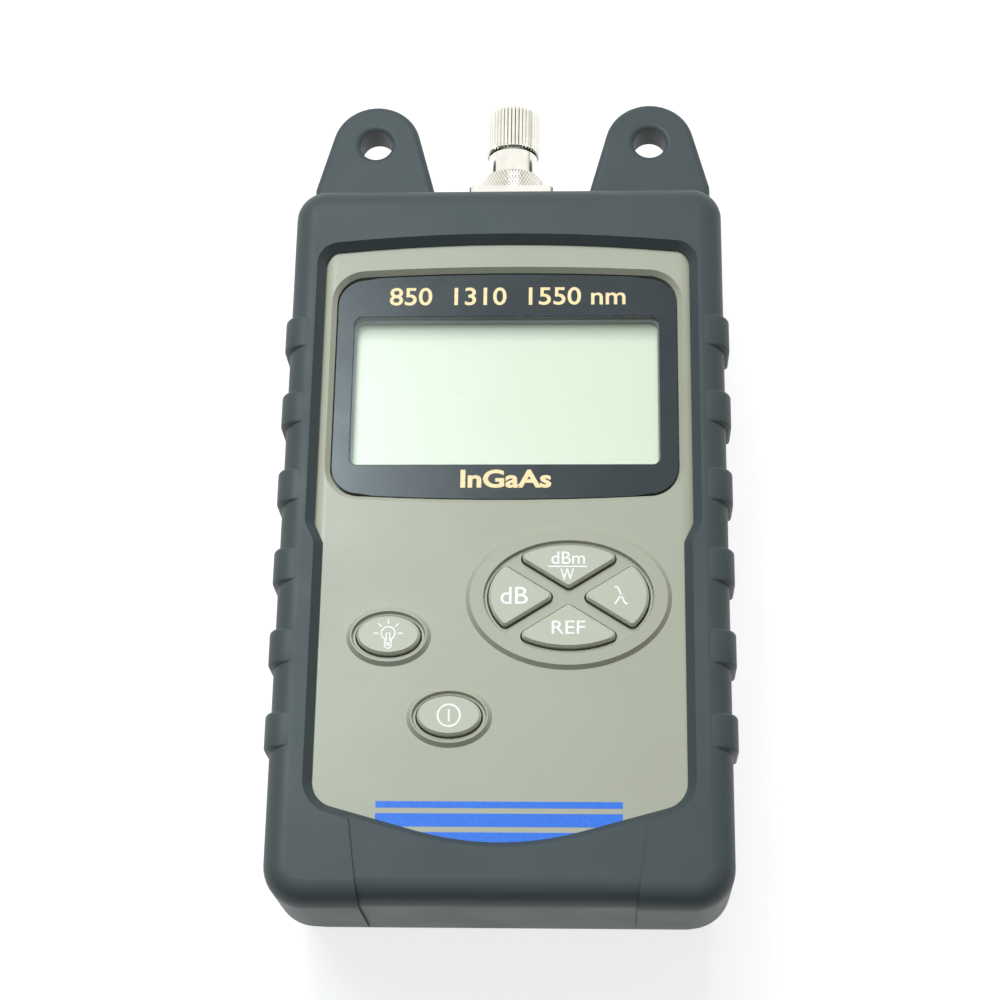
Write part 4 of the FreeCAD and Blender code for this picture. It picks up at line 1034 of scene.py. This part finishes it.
@dataclass
class Case:
    """The case: panel, back, battery door, board and what the panel carries in print."""

    panel: float = 38.8 * MM
    stripe_half: float = 20.2 * MM
    stripe_low: float = -70.6 * MM
    stripe_heights: Triple = (4.6 * MM, 2.2 * MM, 1.1 * MM)
    stripe_gap: float = 0.9 * MM
    spring_wire: float = 0.3 * MM
    spring_turns: float = 4.0
    spring_taper: float = 0.55
    ridge_inset: float = 8.0 * MM
    ridge_pitch: float = 1.5 * MM
    ridge_share: float = 0.4
    ridge_width: float = 13.0 * MM
    ridge_rise: float = 0.3 * MM

    def build(self) -> None:
        """Dress the case, print the stripes, wind the springs and rib the door."""
        for node, finish in {
                "front_case": PANEL, "back_case": PANEL, "battery_door": PANEL, "main_board": BOARD,
                "amplifier_shield": TIN, "key_mat": MAT, "board_screws": ZINC, "case_screws": ZINC,
                "contact_plates": SPRING}.items():
            dress(node, finish)
        self.stripes()
        self.springs()
        self.ridges()

    def springs(self) -> None:
        """Wind the three conical springs that press on the batteries."""
        low, high = box("battery_springs")
        pitch = box("battery_2")[0].x - box("battery_1")[0].x
        wire = self.spring_wire
        foot = (high.z - low.z) / 2 - wire
        spring = Pattern("battery_coils", SPRING, Count=3, Pitch=pitch, Wire=wire, Foot=foot,
                         Turns=self.spring_turns, Top=foot * self.spring_taper,
                         Height=high.y - low.y - wire * 2)
        row = spring.row((-pitch, low.y + wire, (low.z + high.z) / 2),
                         spring.vector(spring.size("Pitch"), 0.0, 0.0))
        coils = spring.copies(row, spring.coil("Foot", "Top", 40, 10), (-math.pi / 2, 0.0, 0.0))
        seat(smooth(spring.make(coils)), None, Part.METER, ("battery_springs",))

    def ridges(self) -> None:
        """Set finger ridges on the battery door, beside its notch."""
        low, _ = box("battery_door")
        bar = Pattern("door_ridges", PANEL, Count=5, Pitch=self.ridge_pitch, Width=self.ridge_width,
                      Length=self.ridge_pitch * self.ridge_share, Depth=self.ridge_rise * 2)
        block = bar.node("GeometryNodeMeshCube", {
            "Size": bar.vector(bar.size("Width"), bar.size("Length"), bar.size("Depth"))})
        row = bar.row((0.0, low.y + self.ridge_inset, low.z), bar.vector(0.0, bar.size("Pitch"), 0.0))
        seat(bar.make(bar.copies(row, block.outputs[0])), None, Part.DOOR)

    def stripes(self) -> None:
        """Print plain stripes across the lower end of the panel."""
        half, low = self.stripe_half, self.stripe_low
        bars = []
        for number, height in enumerate(self.stripe_heights):
            outline = [(-half, low), (half, low), (half, low + height), (-half, low + height)]
            bars.append(plate(f"stripe_{number}", [outline], self.panel, self.panel + INK))
            low += height + self.stripe_gap
        seat(merged("panel_stripes", bars), BLUE_INK, Part.METER)


@dataclass
class Cells:
    """The three batteries."""

    count: int = 3

    def build(self) -> None:
        """Dress the batteries."""
        low, high = box("battery_1")
        for number in range(1, self.count + 1):
            dress(f"battery_{number}", CellSleeve("cell_sleeve", low.y, high.y))


@dataclass
class Display:
    """The display window with its dark border and gold print, and the display behind it.

    The clear view is placed by its lower and upper edges on Y and by half of its width.
    """

    crown: float = 1.0 * MM
    corner: float = 5.0 * MM
    view_half: float = 27.0 * MM
    view_low: float = -1.3 * MM
    view_high: float = 26.9 * MM
    view_corner: float = 1.3 * MM
    edge: float = 0.12 * MM
    lining_inset: float = 0.25 * MM

    def outline(self) -> Loop:
        """Draw the window's outline: straight sides, bowed long edges and round corners.

        Returns:
            The outline.
        """
        low, high = box("display_lens")
        half = high.x
        bottom, top = low.y + self.crown, high.y - self.crown
        radius = (half * half + self.crown * self.crown) / (self.crown * 2)
        sweep = math.degrees(math.asin(half / radius))
        upper = arc((0, top + self.crown - radius), radius, 90 - sweep, 90 + sweep, 16)
        lower = arc((0, bottom - self.crown + radius), radius, 270 - sweep, 270 + sweep, 16)
        corners = rounded([lower[0], lower[-1], upper[0], upper[-1]], self.corner)
        side = len(corners) // 4
        foot, crown = ([point for point in edge if abs(point[0]) < half - self.corner]
                       for edge in (lower, upper))
        return [*corners[:side], *foot, *corners[side:side * 3], *crown, *corners[side * 3:]]

    def view(self, inset: float = 0.0) -> Loop:
        """Draw the outline of the clear view.

        Args:
            inset: How far it is drawn in.

        Returns:
            The outline.
        """
        half = self.view_half - inset
        low, high = self.view_low + inset, self.view_high - inset
        return rounded([(-half, low), (half, low), (half, high), (-half, high)], self.view_corner, 4)

    def build(self) -> None:
        """Build the window's border and pane, the lining sheet that paints shade on the opening's walls,
        and the print.
        """
        dress("display_glass", DISPLAY)
        dress("light_panel", GUIDE)
        dress("contact_strip", CONTACT)
        low, high = (corner.z for corner in box("display_lens"))
        glass = box("display_glass")[1].z
        border = smooth(plate("lens_border", [self.outline(), self.view()], low, high, self.edge),
                        FLAT_ANGLE)
        pane = plate("lens_pane", [self.view()], low + self.edge, high - self.edge)
        # The lining sheet on the opening's walls: its darker colour is painted shade.
        shade_lining = plate("display_gasket", [self.view(INK), self.view(self.lining_inset)], glass + INK,
                       low - INK)
        heading = lettering("wavelengths", "850  1310  1550 nm", (0.1 * MM, 30.9 * MM),
                            (42.0 * MM, 3.5 * MM), high, 0.012)
        foot = lettering("detector_kind", "InGaAs", (0.3 * MM, -4.0 * MM), (15.7 * MM, 3.4 * MM),
                         high, 0.03)
        for piece, finish, replaced in (
                (border, BORDER, ("display_lens",)), (pane, CLEAR, ("display_lens",)),
                (shade_lining, SHADE_LINING, ()), (heading, GOLD_INK, ()), (foot, GOLD_INK, ())):
            seat(piece, finish, Part.METER, replaced)


@dataclass
class Keys:
    """The six keys and their printed legends."""

    cluster: Point = (11.25 * MM, -25.85 * MM)
    sign: Point = (19.95 * MM, -25.85 * MM)
    light_key: Point = (-18.95 * MM, -32.9 * MM)
    power_key: Point = (-8.45 * MM, -46.7 * MM)
    line: float = 0.22 * MM

    @property
    def top(self) -> float:
        """Height of the keys' faces."""
        return box("key_db")[1].z

    def build(self) -> None:
        """Dress the keys and print them."""
        for node in ("key_dbm_w", "key_db", "key_lambda", "key_ref", "key_backlight", "key_power"):
            dress(node, KEY)
        fraction = [([(-3.5, 5.15), (3.1, 5.15)], False)]
        power = merged("legend_dbm_w", [
            self.word("dbm", "dBm", (-0.1, 6.7), (5.7, 2.2)),
            strokes("fraction", fraction, self.cluster, MM, self.line, self.top),
            self.word("watt", "W", (-0.25, 3.75), (2.3, 2.05))])
        for body, legend in {
                Part.KEY_DBM: power,
                Part.KEY_DB: self.word("legend_db", "dB", (-9.15, 0.0), (4.6, 3.0), 0.002),
                Part.KEY_LAMBDA: self.wavelength(),
                Part.KEY_REF: self.word("legend_ref", "REF", (0.0, -5.6), (5.6, 2.3)),
                Part.KEY_LIGHT: self.bulb(),
                Part.KEY_POWER: self.standby()}.items():
            seat(legend, WHITE_INK, body)

    def word(self, name: str, text: str, place: Point, size: Point, weight: float = 0.004) -> Piece:
        """Print a word on one of the four keys in the cluster.

        Args:
            name: The print's name.
            text: The word.
            place: Its middle from the cluster's middle, in millimetres.
            size: Its width and height in millimetres.
            weight: How far the strokes are let out, in ems.

        Returns:
            The print.
        """
        middle = (self.cluster[0] + place[0] * MM, self.cluster[1] + place[1] * MM)
        return lettering(name, text, middle, (size[0] * MM, size[1] * MM), self.top, weight)

    def wavelength(self) -> Piece:
        """Print the wavelength sign.

        Returns:
            The print.
        """
        long_leg = [(-0.75, 1.15), (-0.45, 1.2), (-0.2, 0.8), (0.5, -0.9), (0.75, -1.15),
                    (0.95, -1.05)]
        short_leg = [(0.1, 0.05), (-0.75, -1.2)]
        return strokes("legend_lambda", [(long_leg, False), (short_leg, False)], self.sign, 1.3 * MM,
                       self.line * 1.3, self.top)

    def bulb(self) -> Piece:
        """Print a lamp with rays, drawn in millimetres.

        Returns:
            The print.
        """
        centre = (0.0, 0.35)
        neck = [(-0.55, -1.0), (-0.55, -2.0), (0.0, -2.35), (0.55, -2.0), (0.55, -1.0)]
        filament = [(-0.3, -1.0), (-0.3, 0.4), (0.3, 0.4), (0.3, -1.0)]
        paths = [([*arc(centre, 1.15, -60, 240, 24), *neck], True), (filament, False)]
        for level in (-1.35, -1.7):
            paths.append(([(-0.5, level), (0.5, level)], False))
        for inner, outer in zip(arc(centre, 1.6, 0, 180, 4), arc(centre, 2.45, 0, 180, 4)):
            paths.append(([inner, outer], False))
        return strokes("legend_backlight", paths, self.light_key, MM, self.line, self.top)

    def standby(self) -> Piece:
        """Print a ring with an upright bar.

        Returns:
            The print.
        """
        ring = arc((0.0, 0.0), 1.85, 0, 360, 36)[:-1]
        bar = [(0.0, -1.05), (0.0, 1.05)]
        return strokes("legend_power", [(ring, True), (bar, False)], self.power_key, MM,
                       self.line * 1.4, self.top)


@dataclass
class Port:
    """The fibre port: adapter, knurled nut and dust cap."""

    studs: int = 60
    rows: int = 9
    stud_height: float = 0.26 * MM
    flutes: int = 44
    flute: tuple[float, ...] = (0.0, 0.0, 0.0, 0.0, 0.0, 0.05 * MM, 0.42 * MM, 0.05 * MM)
    rim_share: float = 0.7
    cap_bore: float = 4.3 * MM
    cap_roof: float = 1.1 * MM
    cap_bevel: float = 0.6 * MM
    nut_bevel: float = 0.3 * MM
    nut_step: float = 0.1 * MM
    nut_bore: float = 5.2 * MM
    neck_bore: float = 4.75 * MM
    knurl_inset: float = 0.25 * MM
    ring_seat: float = 62.65 * MM
    sleeve_radius: float = 4.0 * MM
    sleeve_thread: Point = (69.2 * MM, 74.9 * MM)
    boss_radius: float = 4.88 * MM
    boss_thread: Point = (59.2 * MM, 61.3 * MM)
    pitch: float = 0.75 * MM
    ridge: float = 0.2 * MM

    def build(self) -> None:
        """Dress the metal and cut the knurl and the threads."""
        for node, finish in {
                "port_flange": CHROME, "port_nut": CHROME, "fibre_adapter": TURNED,
                "photodiode": CAN, "ferrule_sleeve": CERAMIC, "cap_seal": SEAL}.items():
            dress(node, finish)
        self.nut()
        self.cap()
        self.thread("sleeve_thread", self.sleeve_radius, self.sleeve_thread, Part.ADAPTER)
        self.thread("boss_thread", self.boss_radius, self.boss_thread, Part.METER)

    def thread(self, name: str, radius: float, ends: Point, body: Part) -> None:
        """Wind a ridge round a sleeve.

        Args:
            name: The ridge's name.
            radius: Radius of the sleeve.
            ends: Where the ridge starts and ends along Y.
            body: The body that carries it.
        """
        start, end = ends
        low, high = box("ferrule_sleeve")
        centre = (low + high) / 2
        screw = Pattern(name, TURNED, Radius=radius, Height=end - start, Wire=self.ridge,
                        Turns=(end - start) / self.pitch)
        laid = screw.node("GeometryNodeTransform", {
            "Geometry": screw.coil("Radius", "Radius", 48, 6),
            "Translation": (centre.x, start, centre.z), "Rotation": (-math.pi / 2, 0.0, 0.0)})
        seat(smooth(screw.make(laid.outputs[0])), None, body)

    def cap(self) -> None:
        """Build the dust cap with its straight serrations."""
        low, high = box("dust_cap")
        outer = (high.x - low.x) / 2
        rim = max(self.flute) * self.rim_share
        roof = high.y - self.cap_roof
        profile = [(low.y, self.cap_bore), (low.y, outer - rim), (low.y + rim, outer),
                   (high.y - self.cap_bevel, outer), (high.y, outer - self.cap_bevel),
                   (high.y, 0.0), (roof, 0.0), (roof, self.cap_bore)]
        turned = lathe("serrated_cap", profile, (low + high) / 2, self.flutes * len(self.flute),
                       {2: self.flute, 3: self.flute})
        seat(smooth(turned, FLAT_ANGLE), SERRATED, Part.CAP, ("dust_cap",))

    def nut(self) -> None:
        """Build the nut: a turned ring with a diamond knurl round it."""
        low, high = box("knurled_nut")
        centre = (low + high) / 2
        outer = (high.x - low.x) / 2 - self.stud_height
        crest = high.y - self.nut_bevel
        profile = [(low.y, self.nut_bore), (low.y, outer - self.nut_step),
                   (low.y + self.nut_step * 2, outer), (crest, outer),
                   (high.y, outer - self.nut_bevel), (high.y, self.neck_bore),
                   (self.ring_seat, self.neck_bore), (self.ring_seat, self.nut_bore)]
        ring = smooth(lathe("nut_ring", profile, centre, 96))
        studs = self.knurl(centre, outer, low.y + self.knurl_inset, crest)
        seat(merged("knurled_ring", [ring, studs]), KNURLED, Part.NUT, ("knurled_nut",))

    def knurl(self, centre: Vector, radius: float, start: float, end: float) -> Piece:
        """Set four-sided studs in staggered rows round a line along Y.

        Args:
            centre: A point on the line; its Y is left out.
            radius: Radius that the studs stand on.
            start: Where the rows start along Y.
            end: Where they end.

        Returns:
            The studs as one mesh object.
        """
        knurl = Pattern("knurl", KNURLED, Studs=self.studs, Rows=self.rows, Radius=radius,
                        Height=self.stud_height, Start=start, End=end)
        maths, size = knurl.maths, knurl.size
        total = maths("MULTIPLY", size("Studs"), size("Rows"))
        points = knurl.node("GeometryNodeMeshLine", {"Count": total}).outputs[0]
        index = knurl.node("GeometryNodeInputIndex").outputs[0]
        row = maths("FLOOR", maths("DIVIDE", index, size("Studs")))
        odd = maths("MULTIPLY", maths("MODULO", row, 2.0), 0.5)
        turn = maths("DIVIDE", maths("MULTIPLY", maths("ADD", index, odd), math.tau), size("Studs"))
        step = maths("DIVIDE", maths("SUBTRACT", size("End"), size("Start")), size("Rows"))
        along = maths("MULTIPLY_ADD", maths("ADD", row, 0.5), step, size("Start"))
        across, up = (maths("MULTIPLY_ADD", maths(wave, turn), size("Radius"), middle)
                      for wave, middle in (("SINE", centre.x), ("COSINE", centre.z)))
        spread = knurl.node("GeometryNodeSetPosition", {
            "Geometry": points, "Position": knurl.vector(across, along, up)}).outputs[0]
        width = maths("DIVIDE", maths("MULTIPLY", size("Radius"), math.tau), size("Studs"))
        stud = knurl.node("GeometryNodeMeshCone", {
            "Vertices": 4, "Radius Top": 0.0, "Radius Bottom": maths("MULTIPLY", width, 0.5),
            "Depth": size("Height")}, fill_type="NONE").outputs[0]
        stretch = maths("DIVIDE", maths("MULTIPLY", step, 2.0), width)
        shape = knurl.node("GeometryNodeTransform", {
            "Geometry": stud, "Scale": knurl.vector(1.0, stretch, 1.0)}).outputs[0]
        return knurl.make(knurl.copies(spread, shape, knurl.vector(0.0, turn, 0.0)))


# ---------------------------------------------------------------- studio

@dataclass(frozen=True)
class Lamp:
    """A soft lamp with a rectangular face."""

    name: str
    place: Triple
    aim: Triple
    width: float
    depth: float
    power: float
    colour: Colour = (1.0, 1.0, 1.0)
    mirrored: bool = True

    def hang(self) -> None:
        """Hang the lamp in the scene."""
        data = bpy.data.lights.new(self.name, "AREA")
        data.shape = "RECTANGLE"
        data.size, data.size_y = self.width, self.depth
        data.energy = self.power
        data.color = self.colour
        lamp = stand(data, self.name)
        lamp.location = self.place
        lamp.rotation_euler = (Vector(self.aim) - Vector(self.place)).to_track_quat("-Z", "Y").to_euler()
        lamp.visible_glossy = self.mirrored


KEY_LIGHT = Lamp("key_light", (-0.05, 1.25, 1.45), (0.0, 0.0, 0.02), 0.9, 0.8, 24.5, mirrored=False)
WINDOW_LIGHT = Lamp("window_light", (-0.32, 0.32, 0.95), (-0.32, 0.32, 0.0), 0.36, 0.3, 5.0,
                    (0.8, 0.94, 1.0))


@dataclass
class Studio:
    """The floor, the lamps, the world and the camera."""

    eye: Triple = (16.47 * MM, -143.2 * MM, 393.96 * MM)
    elevation: float = 69.047
    azimuth: float = 7.211
    roll: float = -6.802
    lens: float = 79.81
    floor_half: float = 3.0
    floor_glow: float = 1.35
    floor_share: float = 0.58
    sky_axis: Triple = (-0.1, 0.5, 0.86)
    zenith: float = 0.5
    horizon: float = 0.05
    mirrored_zenith: float = 1.1
    mirrored_horizon: float = 0.08
    mirrored_top: float = 0.4

    def build(self) -> None:
        """Set up the studio."""
        bpy.context.scene.view_settings.view_transform = "Standard"
        self.floor()
        self.sky()
        KEY_LIGHT.hang()
        WINDOW_LIGHT.hang()
        self.camera()

    def floor(self) -> None:
        """Lay a pale floor that looks white and keeps the object's shadow."""
        form = bmesh.new()
        bmesh.ops.create_grid(form, x_segments=2, y_segments=2, size=self.floor_half)
        item = formed(form, "floor")
        paint = Painter("floor_white")
        paint.set(Base_Color=(0.8, 0.8, 0.8), Roughness=0.9)
        glow = paint.node("ShaderNodeEmission", {"Strength": self.floor_glow})
        paint.show(self.floor_share, paint.shader.outputs[0], glow.outputs[0])
        item.data.materials.append(paint.material)

    def sky(self) -> None:
        """Light the object from above, less towards the horizon, and look white."""
        world = bpy.data.worlds.new("studio_world")
        bpy.context.scene.world = world
        world.use_nodes = True
        sky = Nodes(world.node_tree)
        ground = sky.tree.nodes["Background"]
        way = sky.node("ShaderNodeTexCoord").outputs["Generated"]
        height = sky.node("ShaderNodeVectorMath", {0: way, 1: self.sky_axis},
                          operation="DOT_PRODUCT").outputs["Value"]
        path = sky.node("ShaderNodeLightPath").outputs
        diffuse = sky.span(height, 0.0, 1.0, self.horizon, self.zenith)
        mirrored = sky.span(height, 0.0, self.mirrored_top, self.mirrored_horizon, self.mirrored_zenith)
        lit = sky.span(path["Is Glossy Ray"], 0.0, 1.0, diffuse, mirrored)
        sky.feed(ground.inputs["Color"], (1.0, 1.0, 1.0))
        sky.feed(ground.inputs["Strength"], sky.span(path["Is Camera Ray"], 0.0, 1.0, lit, 1.0))

    def camera(self) -> None:
        """Place the camera above the lower end, turned a little."""
        elevation, azimuth, roll = (math.radians(angle)
                                    for angle in (self.elevation, self.azimuth, self.roll))
        back = Vector((math.sin(azimuth) * math.cos(elevation),
                       -math.cos(azimuth) * math.cos(elevation), math.sin(elevation)))
        level = Vector((math.cos(azimuth), math.sin(azimuth), 0.0))
        upward = level.cross(-back)
        right = level * math.cos(roll) + upward * math.sin(roll)
        top = upward * math.cos(roll) - level * math.sin(roll)
        data = bpy.data.cameras.new("camera")
        data.lens = self.lens
        data.sensor_width = 36.0
        data.clip_start, data.clip_end = 0.01, 20.0
        camera = stand(data, "camera")
        turn = Matrix((right, top, back)).transposed().to_4x4()
        camera.matrix_world = Matrix.Translation(self.eye) @ turn
        bpy.context.scene.camera = camera


def main() -> None:
    """Build the whole meter and its studio."""
    for assembly in (Boot(), Case(), Cells(), Display(), Keys(), Port(), Studio()):
        assembly.build()
        LOG.info("%s built", type(assembly).__name__)


if __name__ == "__main__":
    logging.basicConfig(level=logging.INFO)
    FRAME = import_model()
    main()
